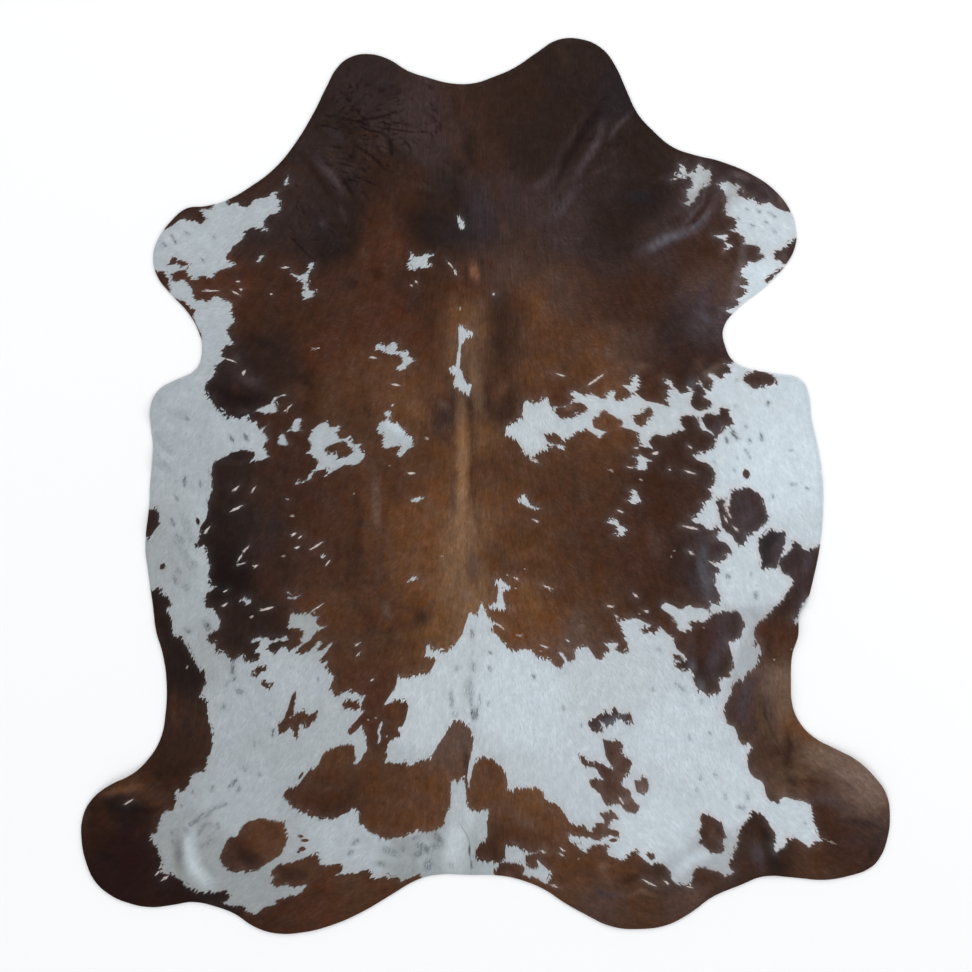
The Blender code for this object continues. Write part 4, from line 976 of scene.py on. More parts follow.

# Blooms, hollows and streaks of each tone, laid over those, the broad ones first; beside the
# hair's own tones, some are painted sheen along ridges and painted shade along furrows and
# hollows. Columns: the course of each, its half width in centimetres, and its strength from 0 to 1
DARK_STROKES = """
slate gloss: -40,91 -36,89 2.2 .35; -42.4,68.3 -41,66.6 1.1 .6; 58.5,54 56.6,49 54.6,43.5 53,39.5
  2.8 .65; 57.6,-11 60,-14.6 1.8 .6; 69.6,-47.6 67,-53 65.6,-58 68,-62.6 2.8 .75; 71.6,-53.4
  72.6,-57.6 74.6,-62 1.2 .6; 83,-80.6 88,-80.6 93,-82.6 2.2 .55; 67.6,-92.6 69.6,-95.6 71,-98 1.8
  .6; 27.6,-104.4 31,-105.2 35,-105 1 .85; 38,96.4 36,94.6 34,92.6 31.6,89.4 1.1 .5; 23.6,76.6
  21.6,74 19.4,71.4 17,68.4 2.2 .8; 12,76.4 15,77.8 16.6,80 1.8 .45; 38.6,59.6 41.6,61 45,62.8
  48,64 51.6,65 54.6,66.4 56.8,68.6 58,71 59.4,74 2.1 .75; 49.4,66 52.4,68.8 54,71.4 55.6,74.4
  56.3,76.8 .8 .7; 61,-35 61,-39 59,-44 57,-50 3 .85; 52,-38.6 54,-43 2.4 .5; -62.4,27.4 -59,26.6
  1.6 .5; -43.5,84.5 -40.5,80.5 -38,77.3 -36.6,74.8 1.5 .42; 65,-2.6 67,-7 67,-12.6 3.6 .8;
  75.4,-13.6 74.2,-19 2.6 .7; 83.4,-17 81.8,-23 2 .9; 70.6,77.4 75.6,74.4 1.8 .7; 69,-91.6
  71,-95.4 2 .8; 58.4,13.4 60.6,17 2 .75; 30.4,93.6 29.4,90.6 28.6,88 26.8,85.4 24.6,82 23,79 1.7
  .55; -64.6,34.4 -63.4,31.6 1.4 .6
soot brown: -37,81 -34.8,77 -33,73.5 1.5 .7; -50.5,68 -48,63 -45.5,58 1.2 .5; -19.5,70 -16,66.5
  -13,63.5 3.6 .6; -17,76 -12,73.5 1.8 .5; -7.7,82.3 -6.3,81 -4.2,82 1.3 .7; -8.2,80 -7.8,75
  -7.2,70 -7,66 1.7 .55; 36,63.5 34,61 39,61.8 1.5 .6; -60.5,-3 -60.5,-12 1.6 .4; -62,38.5
  -57.6,37.6 -54,35.4 -51.6,31.6 2 .6; 70.6,-86.5 72.8,-91.6 75,-98 1.4 .9; -85.4,-73 -82,-76 1.4
  .65; -92,-104 -84,-104.6 -78,-102 2.4 .4; -76.6,-47 -74.6,-53 -73,-58.6 2 .5; 29.6,98.6 27,94
  25.5,91 23.2,86.8 20.6,82.6 18.6,78.4 17.6,75.6 1.5 .85
slate brown: -38.4,73 -36.6,70.3 -35.3,67 .9 .6; -51.5,76 -47,78.5 -44,76 1.8 .5; -50,73 -46,72
  1.6 .4; 27,57 33,54.5 37,55.5 3 .45; 0,49.6 4,48.6 1,46.2 1.8 .5; -68,5.6 -63,6 -60,7.4 1.2 .5;
  93,-90.6 97,-91.6 2.4 .6; 25.6,96 23.5,92.5 21.4,89 18.6,84.6 17.4,81.6 1 .6; 34,83 30,81.4
  27.6,80.2 25.4,78.8 .7 .8; 40,80.5 36,79 32,80 1.3 .3; 42.6,78 45,79.2 47.5,79.4 .8 .6; -66,29.6
  -61,27.4 -56,25 2.8 .9; -64.4,19.4 -59,18.8 1.2 .75; -24,97.5 -19,95 3 .35; -18,93 -16.5,88
  -14,82 3.2 .35; 80,-28 79,-33 2 .6; 56,5.4 56.6,0 1.8 .6; -9.4,19.5 -8.8,15.6 1.5 .6; 66.6,-47.6
  67,-50.6 1.4 .7; 73,-30.6 73,-34 1.8 .6; -66.4,19.6 -65.6,16.6 1.4 .7; -71.6,-107.4 -68.6,-108.6
  1.8 .75; 19.4,115 22.6,114.4 1.6 .6
dark slate: -44.5,69 -41,65 -38,61 3.6 .5; 15,105 18,102.5 21,104 3 .3; 35.5,74 39,74.5 43,73 3.6
  .75; 67.6,-46 64.6,-50.6 1.3 .5; -30,104 -26.5,102.5 -24,101.5 2.8 .4; -85,-6.6 -84.4,-9.6 1.8
  .8
rust: -28,70 -25,65 -24,60 4.6 .55; -44,-6 -43.6,-16 2.6 .3; 76.6,-36 75,-41.6 2.4 .5; .6,58.4
  2.6,55.4 2 .5; -65,57 -62.5,55.4 1.6 .5
warm brown: -24.6,64 -22.6,61 -23.4,58 2 .55; -36.6,-14 -37,-22 -38,-30 1.5 .4; -42,23.5 -36,22
  3.4 .6; -24.4,-53.6 -22.6,-60 -24.4,-64.4 3 .85
dark chestnut: -31.5,69 -30,66 1.6 .5; -8.8,91 -8,87 -6.5,84 1.8 .4; 38,47.5 42,46 2.6 .4; 23,4
  24,-4 23,-10 3 .4; 78,-76.4 83,-75.3 88,-76.6 1.5 .75; -80,-51.6 -80.3,-57 -79,-63 1.3 .55;
  -37.6,-73.6 -34,-75.6 1.8 .45; -31,-30 -29,-36 -30.2,-43 2.8 .85; -38,0 -38.6,-12 -38,-24 4.2
  .6; -41.4,-35 -38.6,-42 3 .65; -10.6,14.4 -9.6,11 -8.6,9.4 1.6 .7; 69.6,-42.6 70.4,-45.6 1.8 .8;
  -44.6,-95.4 -41.6,-96.6 1.8 .7
umber: -14,74 -10,72 -8.5,69 3 .6; -2.2,101 -2.6,92 -2,84 1.1 .55; 45,55.5 49,52.6 47,49 2.4 .45;
  5,45 8,42.3 8,39 1.5 .6; 3.6,37.2 4.4,34.2 3.4,32 1.7 .6; -5.2,60 -5,54 -4.9,47 .5 .6; -18.5,48
  -17.2,44.5 2.6 .45; -16,52.5 -13,53 2.2 .4; -52,-33 -57,-35 2.6 .35; -56,45.5 -51,44.5 2.6 .35;
  53.6,-17 52.6,-23 1.5 .5; 55,-36 54.6,-41 1.8 .4; 73.4,-38.6 72.4,-44 1.4 .55; 77.3,-62
  78.2,-66.5 77,-72 1.4 .85; -5,-67 -4.8,-71.6 -4.6,-75.6 1.2 .85; -60,-110.6 -57,-111.6 1.6 .5;
  -36,87 -31.5,85 -27.5,81 3.2 .55; -29.5,88 -26.5,84.5 2.4 .5; -31,80 -26.5,78 2.6 .5; -3.6,24
  -3.5,16 -3.4,8 -3.5,-2 .6 .5; -53,-99 -48,-100.6 2.8 .85; -10.4,60.4 -7,60 2.6 .85; -55,3
  -54.8,-1 2 .6; -53.5,-14 -52,-20 -50.8,-26 2.4 .7; 73,-41 74.4,-45 2 .45; -37.4,52.4 -32.4,51.6
  3 .7; -6.4,98 -5.4,92 2.4 .6; -3,103.6 -2.8,98 2.2 .75; -49,86 -46.4,84.2 -44.4,81.5 -42,77.5
  -39.5,74 -37.4,71 1.3 .6; -14,60 -12,57 -8,57.6 2 .7; -60.4,-94.4 -57.6,-96 1.8 .8; -86.4,-76
  -83.6,-78 1.6 .8
cocoa: -21,78 -16,77 -12,75.3 1.3 .5; -6,103 -5.6,98 -6,93 2.4 .55; 18,113.5 20,111 21,107.5 2.4
  .45; -87,-79.4 -83,-80.4 -80.6,-80 1.4 .55; -51,66 -49.5,61 1.4 .4; 77.6,-79 80.6,-79 1.8 .8;
  -103.4,-80.6 -103,-88 2.2 .65; -84,-62.6 -86.6,-71 1.8 .55
red umber: 1.5,78.5 3,76 2.8,73 1.6 .5; -68.6,55 -64,54 -61,55 2.4 .45; 82.6,-76 85.6,-76.4 1.4
  .7; -99,-84.6 -96,-87.6 2.6 .5; -90,-90 -87.6,-89 2.2 .4; -29,56.4 -27,53 2.4 .7
bitter chocolate: 31,70 33,66 31,62.5 2.6 .6; 41,64.5 45.6,67 50,69.5 1.4 .45; 100.6,-91.6
  98.6,-96 1.6 .7; -64,-92.6 -61,-95.4 -58.4,-97.6 3 .9; -77.4,-60 -75.6,-65.6 2.2 .8; -4.6,91.4
  -3.4,84 2.6 .85; -8,81 -8,76 -8,69 2.2 .6; -26,88.5 -21,85 -22,79.5 2.8 .75; -4,86 -2.6,82 1.8
  .7
auburn: 50,60.5 55,63 60,66 2.4 .55; 57,59 61,61 2 .5; -16.9,-32.4 -15.8,-35.4 1.7 .8; 85.6,-86.6
  89.6,-89.4 2 .65; 82,-94 88,-96.6 94,-97.4 2.6 .5; 34,-101.8 38,-100.8 41,-98.6 1.8 .85;
  -33.5,91 -30,90.3 -28,89.4 1.3 .4; -33.2,2 -33,-10 -32.8,-25 2.4 .85; -48,-104.6 -42,-105 2.8
  .6; -37,-80.6 -34,-79.8 1.6 .5; -13.6,47 -14.4,39 2.8 .75; -45,-4 -44.4,-16 3 .5; -51.4,-104
  -45,-109.4 2.4 .7; -58.6,-107.4 -55.4,-108.6 1.8 .7
steel gloss: 55,44.5 57.6,42 1.6 .5; 56.3,-14 55.6,-19.5 56.6,-24.5 57.8,-28.6 2 .85; 42,61
  45.4,63.2 47.6,63.8 50.6,64.8 1.9 .7; 50.6,66.2 53,66.2 55.6,68 57.4,70.6 .8 .6; 29.6,-61.6
  35.6,-59.4 1.7 .9; 53,-44.6 53,-47.4 1.7 .7; 54.6,-49.6 55.4,-52.4 1.6 .8; 52.4,27.4 53.6,24.6
  1.4 .7
bistre: 48.5,42.5 46.5,39 48,36 2.2 .6; 36.6,36.5 34,33.4 37.4,33 1.2 .4; -51,28 -50,33 -53,40 2
  .35; 57,-47 55.4,-49.6 1.5 .6; 70.4,-53.5 72,-59.5 74.4,-65 .8 .65; 89.6,-86 96,-86 103.2,-89
  1.3 .7; -6,61 -4.2,60.6 2 .7; 27,91 30,86 2.6 .45; -85.4,-85 -83,-87 1.6 .6
copper: 9.5,49.5 13.5,47.5 14.5,42.6 4.2 .55; 30,25 34,26.2 2.2 .55; -8.3,50 -8.3,42 -8.8,34 -9,27
  1.3 .7; -12.6,27.5 -11,23.5 2.4 .5; 5,-17 12,-17.5 17,-20 3 .45; 81,-63.6 83,-65 1.4 .7;
  22.6,-102.4 26.6,-101 1.6 .5; -18,-26 -14,-30 4 .4; -11.4,-2 -11,-16.5 2.6 .75
dusty brown: 0,46 -3.4,48 1.6 .5; -8.4,8 -8.2,0 -8.4,-8 -8.8,-15 1.3 .55; 42,-10 43.6,-15.5 45,-20
  2.6 .6; 50.6,-26 49.6,-29 2.2 .55; 69,-68.4 72.6,-69.6 1.7 .5; -43,-77.6 -38.6,-77.2 -35.6,-78
  1.1 .6; -.6,-71.6 2,-74.6 2.2 .5; 53.6,29.4 56,33 2.4 .7; 58,-86 58.4,-92 2.4 .9; -27.6,-14
  -27.1,-20 -27.9,-27 1.7 .7
rosy brown: 28.5,34.5 32.5,34 37,32 2.4 .6; -4.6,-16.5 -3,-20 -2.6,-24.5 2.4 .85; 23,-34.5
  24.4,-39 2.7 .85; -7.6,-62.6 -7.3,-66.6 2.4 .75; 50,-107.6 54,-106 57,-103.4 2.2 .6; 4,68 6,64.5
  2.6 .35; 55.6,27 60.6,31.4 2.2 .85; 36.6,31 42,30.2 2 .6; 33.6,-68 34,-74 2.2 .9; 29,-74.6
  29.6,-78.4 1.5 .9; 13.6,-94.8 17,-92.2 2 .7; 4.6,-82.4 9,-85.6 13.4,-87 2.4 .7; -28.4,5 -28,-3
  -27.7,-12.6 1.8 .85; -25.8,-30 -24.6,-35 1.5 .85; -12.6,22 -9.4,19.8 1.7 .8; -7,20 -7,16.5 1.4
  .6; 4.6,-99.6 7.4,-100.6 1.8 .8; 8.6,20.4 9.4,17.6 1.5 .8
chestnut: 43,27 47,28.6 2.4 .4; -2.6,13 -2.7,5 -2.6,-3 -2.9,-11 .7 .6; 20.6,-8 20,-15 20.6,-22
  20.4,-28 1.6 .45; -60,-88 -55.6,-89.4 -53.6,-88 2.4 .6; -46,-78 -42,-77.4 2 .6; -50,25 -46,23
  3.4 .85; 76,-44.6 76.4,-47.4 1.6 .7; -59.4,-84.6 -52,-90.6 2.4 .75; -27.6,35 -24.4,33 2 .75
rosy tan: -6,-27.3 -4,-29 2 .75; 82,-67.5 89,-70 96,-74 100.6,-80 4 .7; 80,-70.6 84.6,-70.9
  89,-72.6 94,-75.6 .8 .55
tan: -9.6,-19 -8.6,-23.5 -8.6,-28 1.5 .65; -3.6,31 -3.2,27 -4,23.6 1.3 .55; -6.4,-35.4 -6,-38.6
  1.5 .9
gold: -22.5,22.5 -17.5,18.5 -14.6,15 3.6 .55; 8.4,-24 11.4,-29 13,-34.5 4.2 .85; -.6,42 -.4,37 1.8
  .7; -20,-38.6 -14,-37.6 -11,-33 -8.4,-30 3.6 .9; -8.4,-35 -10,-39 2.6 .6
golden brown: -29,29 -24,27.4 -20,27 3.4 .5; -98.4,-79.3 -93.6,-77.6 -88,-77.6 1.7 .75;
  -17.6,-74.6 -13.6,-79.6 -16,-84.6 3.8 .4; 7,-80 12,-83 18,-85 3.2 .4; 27,-95.6 31,-97.6
  34,-100.4 2.8 .6; 3,21 4.6,27 3 .8; 18,-98.4 22,-96 2.2 .6; -22.4,-19 -22.6,-29 2.4 .5; -2.6,-23
  -3,-26 1.5 .8; -1.4,-7 -1.6,-15 1.4 .6; -20.6,-31.6 -19.4,-36 2.4 .75
raven: -64.6,-19 -64.8,-24 -64,-28 1.6 .7; -69.8,25.6 -65.6,23.2 -60.6,22 -56,22.8 1.9 .9;
  -98.6,-80.8 -94.6,-82.6 -89,-83.3 -83,-83.2 1.5 .95; -99,-93.6 -95.6,-96.6 3.2 .55
pale tan: 74.6,-47 76.3,-52 77,-57 2 .85; 36,-105.6 39.6,-104 44,-105.4 .8 .75; -3,39.5 -3.4,35
  -3,30 -2.8,25.5 2.4 .75; -2,29.4 -2,23 -1.2,18.4 2.4 .9; 29,-96.6 31,-99.4 2 .75; 20.4,20
  23.6,20.4 1.5 .9; -28,-6 -27.9,-10.6 1 .55; -22.4,-48 -19.6,-50 1.8 .8
chocolate: 42.6,-97 45.6,-99.6 47,-102 1.7 .6; 76.6,-74.4 80.6,-76.4 2.4 .85; -56,2 -56.6,-6
  -57,-13 -58.5,-18 1.6 .6; -52.4,83.8 -48.6,81.4 -46.2,79.4 1.6 .8; -85.4,-33 -84,-41 -82.4,-50 2
  .75; -64.6,26.6 -63.6,24 1.6 .8; -54.6,-97 -51.6,-99 1.8 .9; -48.6,-99 -45.4,-101 1.8 .8;
  -67.6,-90 -64.6,-92 1.6 .7; -50.4,-30.6 -47.6,-33.4 2 .7
blue slate: -3.2,77 -2,72 -.6,67 -1,62.5 3.2 .85; 1.6,74 2.4,69 1.6,65 2.2 .5
dorsal tan: -6.3,24.5 -6.2,16 -6.1,8 -6.1,0 -6.2,-8 -6,-17.5 2.3 1; -5.5,9 -5.4,2 -5.6,-5 1.2 .6
orange tan: -2.9,57.2 -2.8,55 -2.2,52.8 1.8 .9
rosy grey: 66.4,63.6 66,58 64.4,52 63,47 1.8 .85; 63,80.6 68,79 1.5 .8; 65.4,77.4 67,74.6 1.2 .8;
  69.4,80 71,78 1.5 .6; 76,60 77.6,58 1.5 .6
dusty rose: 39.6,-75.6 40.2,-78.4 1.5 .9; 35,-81.6 37.2,-79.8 1.6 .8; 75.4,75 76.4,72 1.6 .7
"""

# The same in the white, where some strokes are painted light on the crests of the folds and
# painted shade in their hollows, as on the left hock and along the left flank's edge waves
WHITE_STROKES = """
grey white: -79.2,-91 -79.2,-96 -77.6,-101 1.6 .75
soft white: -76,-88 -76,-93 -74.4,-98.4 -70.6,-103.6 3.2 .75; -7,-83 -8,-92 -8,-101 5.6 1;
  -3.6,-82 -4,-88 1.8 .8; 74,-88 80,-86 2 .4; 40,-72 48,-73 1.6 .5; 55,80 53,76 1.6 .5
clean white: -76.2,-91 -76,-96 -73,-101.4 1.2 .3; -84,20.6 -78,20 1.5 .35; -85,7.4 -78,7.6 1.5
  .35; 60.6,-51 63,-42 66.4,-35 3 .95; 60,77.6 62.4,76 1.8 .9; 48,-100.6 52,-96.6 58.6,-93.6 2.8
  .95; -25.6,17 -20,13 2.2 .95
ash white: -84,-12 -80,-20 -80,-28 2.4 .6; -85,13.6 -78,13 1.2 .35; -86,1 -79,1.6 1.2 .35
cool white: -18,-90 -15,-93 -15,-100 3.4 .8; -26,-95.6 -21,-95 2.4 .6; -24,-89.6 -17,-88.6 1.8 .9;
  -60,14.6 -55,13 2.4 .9; -41,14.6 -36,14.6 2.4 .8; -73.6,-2 -72,-9 2 .7
pearl grey: -3.4,-36 -3.6,-44 -4,-52 -3.6,-60 1.2 .5; 66.6,60.6 64.6,63.6 1 .5
creamy grey: -2.9,-56.6 -2.7,-60 .7 .8
"""

# How far every tone strays from its chart. Columns: over what distance, by how much, both in
# metres, and the seed
TONE_DRIFT = ((0.034, 0.0070, 11), (0.013, 0.0034, 21))
# How much of the strokes' place is firm and how much strays with the tones
STROKE_FIRM, STROKE_STRAY = 0.7, 0.3
# The white flecks in the brown: their tone, how far in centimetres the white round them is dulled
# beyond their width, and how strongly
FLECK_TONE = (202, 190, 182)
FLECK_HALO, FLECK_DULLS = 0.6, 0.9
# Ticking, slate hairs scattered in the white: the two ends of each smudge, its width, and its
# strength from 0 to 1. The long smudge down the hollow of the left hock is painted shade.
TICKS = """
right upper flank: 72.6,21.7 72.6,20.8 .8 .98; 63.9,20.7 64.5,20.5 .7 .45; 66.8,15.5 67,14.9 .7
  .52; 63.1,14.4 64.6,12.3 1.1 1; 61.7,12.3 62.1,11.2 .8 .91; 60.9,14.4 61.2,14 .6 .39; 65,12.4
  65.5,12.1 .6 .39; 70.7,13.2 71,11.8 .8 1; 64.4,27.5 64.4,26.9 .8 .39
right lower flank: 67.6,12 68,11.4 .8 .78; 66.8,9.3 67.2,8.5 .8 .65; 67.7,7.8 68,7 .6 .49;
  64.5,7.8 64.8,7 .7 .39; 63.8,4.4 64.1,3.7 .7 .49; 58.4,6.4 58.8,6 .7 .39; 78.2,9.1 78.8,9.1 .6
  .52; 78.5,.5 79.5,.4 .9 .78; 82.3,-.4 82.9,-.8 .6 .65; 73.8,-2.2 73.8,-3.2 .7 .65; 62,-22.9
  62.5,-23.5 1 .78; 68.3,-22.3 68.3,-23 .7 .33
left belly: -64.8,-45.2 -65,-48 .9 1; -64.2,-49 -64.8,-49.9 .8 .72; -66,-50.3 -66.5,-51.3 .7 .52;
  -63.7,-52.6 -62.6,-53 1.3 .72; -71.9,-35.4 -71.1,-36.7 1.5 1; -76.8,-36.9 -76.2,-37.5 1 .65;
  -77.3,-25.6 -76.6,-26.6 1.5 .39; -43,-49.2 -43,-49.9 .6 .52; -72,-35 -71,-37 1 .52
left thigh: -67.2,-56 -67.4,-57.2 1 .55; -54.5,-62.6 -54.7,-64 .7 1; -55.3,-58.3 -55.3,-59.1 .5
  .33; -59.3,-65.8 -59.3,-66.8 .6 .39; -62,-72.1 -62,-73.1 1.2 .34; -65.5,-77.1 -64,-75.5 .8 1;
  -63.2,-77.2 -63.6,-78.4 1 .59; -70,-77.2 -70.4,-78.2 .9 .65; -75.1,-78.2 -75.1,-78.9 .6 .49;
  -78.2,-81.9 -78.2,-82.6 .7 .45; -73.9,-85.8 -72.5,-84.3 .9 .59; -71.6,-84.8 -70.3,-83 .9 .59;
  -70.2,-82.9 -68.6,-82.4 .9 .55; -67.6,-82.1 -66.5,-81.6 .9 .55; -58,-73.6 -58,-74.4 .9 .39
left hock: -75.7,-86.8 -73.9,-85.8 1 .65; -73.6,-89.1 -72.2,-87.1 .9 .47; -72.1,-87 -70.5,-86.6 .8
  .47; -68.7,-86.7 -68.7,-88 1.1 .49; -77.1,-88 -76.9,-88.8 1.4 .39; -80.8,-88.5 -80.6,-89.2 .8
  .39; -80.4,-91 -80.2,-91.7 .8 .42; -72.8,-92.5 -70.5,-91.2 1.1 .39; -78.4,-91.6 -78.4,-95.8 1.8
  .39; -34.2,-91.9 -32.6,-90.9 1.2 .65; -35.2,-94.5 -34.2,-93.7 1 .65
middle rump: -3.4,-37.2 -3.4,-38.8 1 .65; 1,-42.5 1.4,-43 .6 .94; .9,-46.6 1.2,-47.2 .7 .94;
  -3,-45.8 -3,-47.2 .8 .49; -7.4,-46.4 -7.4,-47.4 .8 .39; -4.2,-50.8 -4.3,-53.8 2.6 .34;
  -3.7,-54.6 -3.7,-56.4 .7 .55; -1.5,-53.8 -1.3,-56 .4 .52; .9,-55.3 .7,-56.3 .7 .52
right rump: 12.1,-48.6 12.7,-49.3 .7 1
left rump: -8.9,-53.4 -8.6,-56.2 1.1 .55
middle rump, low: -3.5,-57.8 -3.3,-59.8 .7 1; -2.1,-57.5 -2.3,-59.3 .6 1; -2.8,-58 -2.8,-59.6 1.4
  .65; -7.8,-58 -7.8,-59.2 1.5 .33
right rump, low: 20,-56.6 20,-57.6 .9 .49; 24.6,-61.2 24.6,-61.8 .5 .65
left tail end: -12.6,-89.6 -11.2,-91.8 1.8 .65; -13.8,-92.8 -12.2,-92.2 2 .45; -17,-92.2
  -14.6,-93.8 1.9 .78; -16,-93.8 -17.8,-94.9 1.6 .65; -25.6,-93.4 -22.5,-94.8 1.8 .49; -21.2,-92.8
  -21.2,-93.8 1.1 .45; -27.5,-97 -26.1,-97.2 1.4 .62; -14.4,-96 -15.1,-98.2 2.2 .65; -8.8,-96.7
  -8.8,-97.8 1.3 .34; -18.6,-90.6 -17.6,-90.2 1 .52
middle tail end: -4.1,-92.8 -4.1,-94.4 .5 .78; -3.7,-96.6 -3.6,-98 .5 .78
right belly: 69.3,-27.4 69.6,-28.7 1.1 .68; 44.2,-41.7 44.8,-42.3 .8 .47; 43,-51.8 43,-52.6 .7
  .39; 49.2,-51 50.9,-52.4 .8 .49; 55.5,-54.8 55.5,-55.8 .6 .39
right thigh: 57.4,-63.1 57.8,-63.8 .7 .68; 52.4,-64.1 52.4,-64.9 .6 .49; 58.6,-74 59.2,-74.5 .8
  .62; 55.3,-74.3 55.3,-75.3 .8 .42; 54.3,-77.6 54.3,-78.4 .9 .36; 61.6,-79.2 61.6,-80.2 .9 .42;
  67.2,-79.4 67.4,-80.4 .9 .55; 64.9,-82.4 66.4,-82.6 1 .59
left shoulder: -80.3,64.3 -80.3,63.7 .6 .65; -83,62.1 -82.3,61.9 .7 .52; -79.9,63 -79.5,62.6 .6
  .65; -77,65.1 -76.5,64.7 .6 .52; -70,64.1 -69.5,63.7 .6 .52; -72.6,58.2 -72.3,57.7 .6 .65;
  -82.8,62.4 -82.2,61.6 .4 .91; -80.6,64.2 -80,63.6 .4 .91; -80,63 -79.4,62.2 .4 .78; -76.8,65.2
  -76.2,64.8 .4 .78; -73,58.4 -72.4,57.6 .4 .65
left upper flank: -77.2,17.5 -76.4,17.1 .9 .45; -65.5,12.5 -64.9,11.9 .9 .59; -61.6,12.9
  -61.4,12.1 .9 .91; -76.9,18 -76.3,17 .5 .78; -65.6,12.8 -65,11.6 .7 .98; -61.9,13.2 -61.1,12 .7
  .98; -83,21 -77,18 2.4 .13
left lower flank: -77.6,1.5 -77,1.1 1 .52; -71,4 -70.7,3.6 .6 .52; -73.4,.5 -73.1,.1 .6 .45;
  -79.6,-2.9 -79.1,-3.4 1 .45; -71.6,-3.5 -71.3,-3.9 .6 .52; -80.6,-9.3 -80,-9.8 1 .45;
  -79.3,-13.3 -78.6,-13.8 1 .45; -78.4,-13.5 -77.6,-14.6 1.6 .39; -75.4,-19.5 -74.6,-20.6 1.8 .39;
  -79.4,-21.6 -78.6,-22.5 1.6 .39; -77.3,1.9 -77.3,.3 .75 .98; -73.3,1.1 -73.3,-.2 .5 .78;
  -71.2,4.2 -70.8,3.2 .4 .59; -79.8,-2.6 -79.2,-3.4 .6 .65; -80.6,-8.6 -80,-10 .7 .72; -79.4,-12.6
  -78.6,-14 .7 .59; -80,-23 -79.4,-25 1 .52; -78.5,-15 -75.5,-21 2.2 .29; -77.6,-8 -75.4,-14 2
  .23; -85,7.5 -81,3.6 2.4 .21; -84,12 -80,8 1.6 .16
right shoulder: 68.2,67.1 68.9,66.8 .6 .65; 73.7,65.5 74.3,65.2 .6 .65; 64.8,69 65.2,68.6 .6 .59;
  71.7,67.9 72.3,67.6 .6 .65; 72.6,70.3 73.3,70 .7 .78; 74,69.3 74.5,69 .6 .65; 70,70.6 70.6,70.3
  .6 .59; 66.8,71.2 67.4,70.9 .6 .52
right hock: 81.7,-86.4 82.2,-86.7 .5 .52
"""

TICKING_SLATE = (0.05, 0.062, 0.072, 1.0)
# A smudge's greyness: its half width beside the charted width, how far past each end it runs, as a
# share of its length, and the half width of the rows of points that carry it
SMUDGE_HALF, SMUDGE_TIP, SMUDGE_ROWS = 0.85, 0.3, 0.6

# How a band along a course fades: over which shares of its length, and how fast, its ends taper,
# and how fast it falls off to its sides
BAND_ENDS, BAND_TAPER, BAND_FADE = (0.04, 0.96), 0.5, 1.6


def on_course(points, course, half_width):
    """How much each point belongs to a band along a course: 1 on its middle line, falling to 0
    a half width away and towards both ends. Gives the points in reach and their shares."""
    course = np.array(course) * CM
    reach = half_width * CM
    near = ((points > course.min(0) - reach) & (points < course.max(0) + reach)).all(1)
    near = np.flatnonzero(near)
    legs = np.hypot(*np.diff(course, axis=0).T)
    gone, whole = 0.0, legs.sum()
    best = np.zeros(len(near))
    for start, end, leg in zip(course, course[1:], legs):
        along = (end - start) / leg
        share = np.clip((points[near] - start) @ along, 0.0, leg)
        away = np.hypot(*(points[near] - start - share[:, None] * along).T)
        taper = np.sin(np.clip((gone + share) / whole, *BAND_ENDS) * math.pi) ** BAND_TAPER
        fade = np.cos(np.minimum(away / reach, 1.0) * math.pi / 2) ** BAND_FADE
        best = np.maximum(best, fade * taper)
        gone += leg
    return near, best


def wrinkles():
    """Short bowed wrinkles strewn over the wrinkled patches, as rows of CREASES."""
    make = np.random.default_rng(WRINKLE_SEED)
    rows = []
    for x, y, wide, high, angle, count in WRINKLED:
        for _ in range(count):
            middle = np.array((x, y)) + make.normal(0.0, WRINKLE_STRAY, 2) * (wide, high)
            turn = math.radians(angle + make.normal(0.0, WRINKLE_TURN))
            along, across = (math.cos(turn), math.sin(turn)), (-math.sin(turn), math.cos(turn))
            long, bow = make.uniform(*WRINKLE_LENGTH), make.normal(0.0, WRINKLE_BOW)
            course = [
                middle + np.array(along) * long * t + np.array(across) * bow * (1 - 4 * t * t)
                for t in (-0.5, 0.0, 0.5)
            ]
            depth = make.uniform(*WRINKLE_DEPTH)
            depth *= -1.0 if make.uniform() < FURROW_SHARE else RIDGE_HEIGHT
            rows.append((course, make.uniform(*WRINKLE_HALF), depth, depth * WRINKLE_SHADE))
    return rows


# The least height in mm and painted shade where creases cross
DEEPEST = (-2.4, -0.72)
creases = [(course, *numbers) for _name, course, numbers in chart(CREASES)] + wrinkles()


def creased(points):
    """What the creases do at each point: the height they add in mm, above nought on a ridge and
    below in a furrow, and their painted sheen or shade: how much lighter or darker they colour the
    hair."""
    made = np.zeros((len(points), 2))
    for course, half_width, height, shade in creases:
        near, share = on_course(points, course, half_width)
        made[near] += share[:, None] * (height, shade)
    return np.maximum(made, DEEPEST)


def from_rim(points):
    """Distance inside the cut edge in metres, below nought outside it."""
    near, away = nearest(rim_tree, points)
    out = ((points - rim[near]) * rim_out[near]).sum(1)
    return np.where((away < RIM_REACH) & (out > 0), -away, away)


def coat_top(points, inside):
    """Height of the coat in metres over each point, which lies that far inside the cut edge."""
    reaches, heights = np.array(COAT_RIM).T
    pile = np.interp(inside / MM, reaches, heights)
    gentle = np.clip(inside / (CALM_RIM * MM), 0.0, 1.0)
    return raised(points, FOLDS) + (pile + gentle * creased(points)[:, 0]) * MM


# What the gloss adds to a tone, and the darkest that a tone can be, both linear
HAIR_GLOSS, DARKEST = 0.006, 0.002


def tone(red, green, blue):
    """A tone read as it looks in plain light, as linear red, green and blue without its gloss."""
    shown = np.array((red, green, blue)) / 255
    linear = np.where(shown < 0.0405, shown / 12.92, ((shown + 0.055) / 1.055) ** 2.4)
    return np.maximum(linear - HAIR_GLOSS, DARKEST)


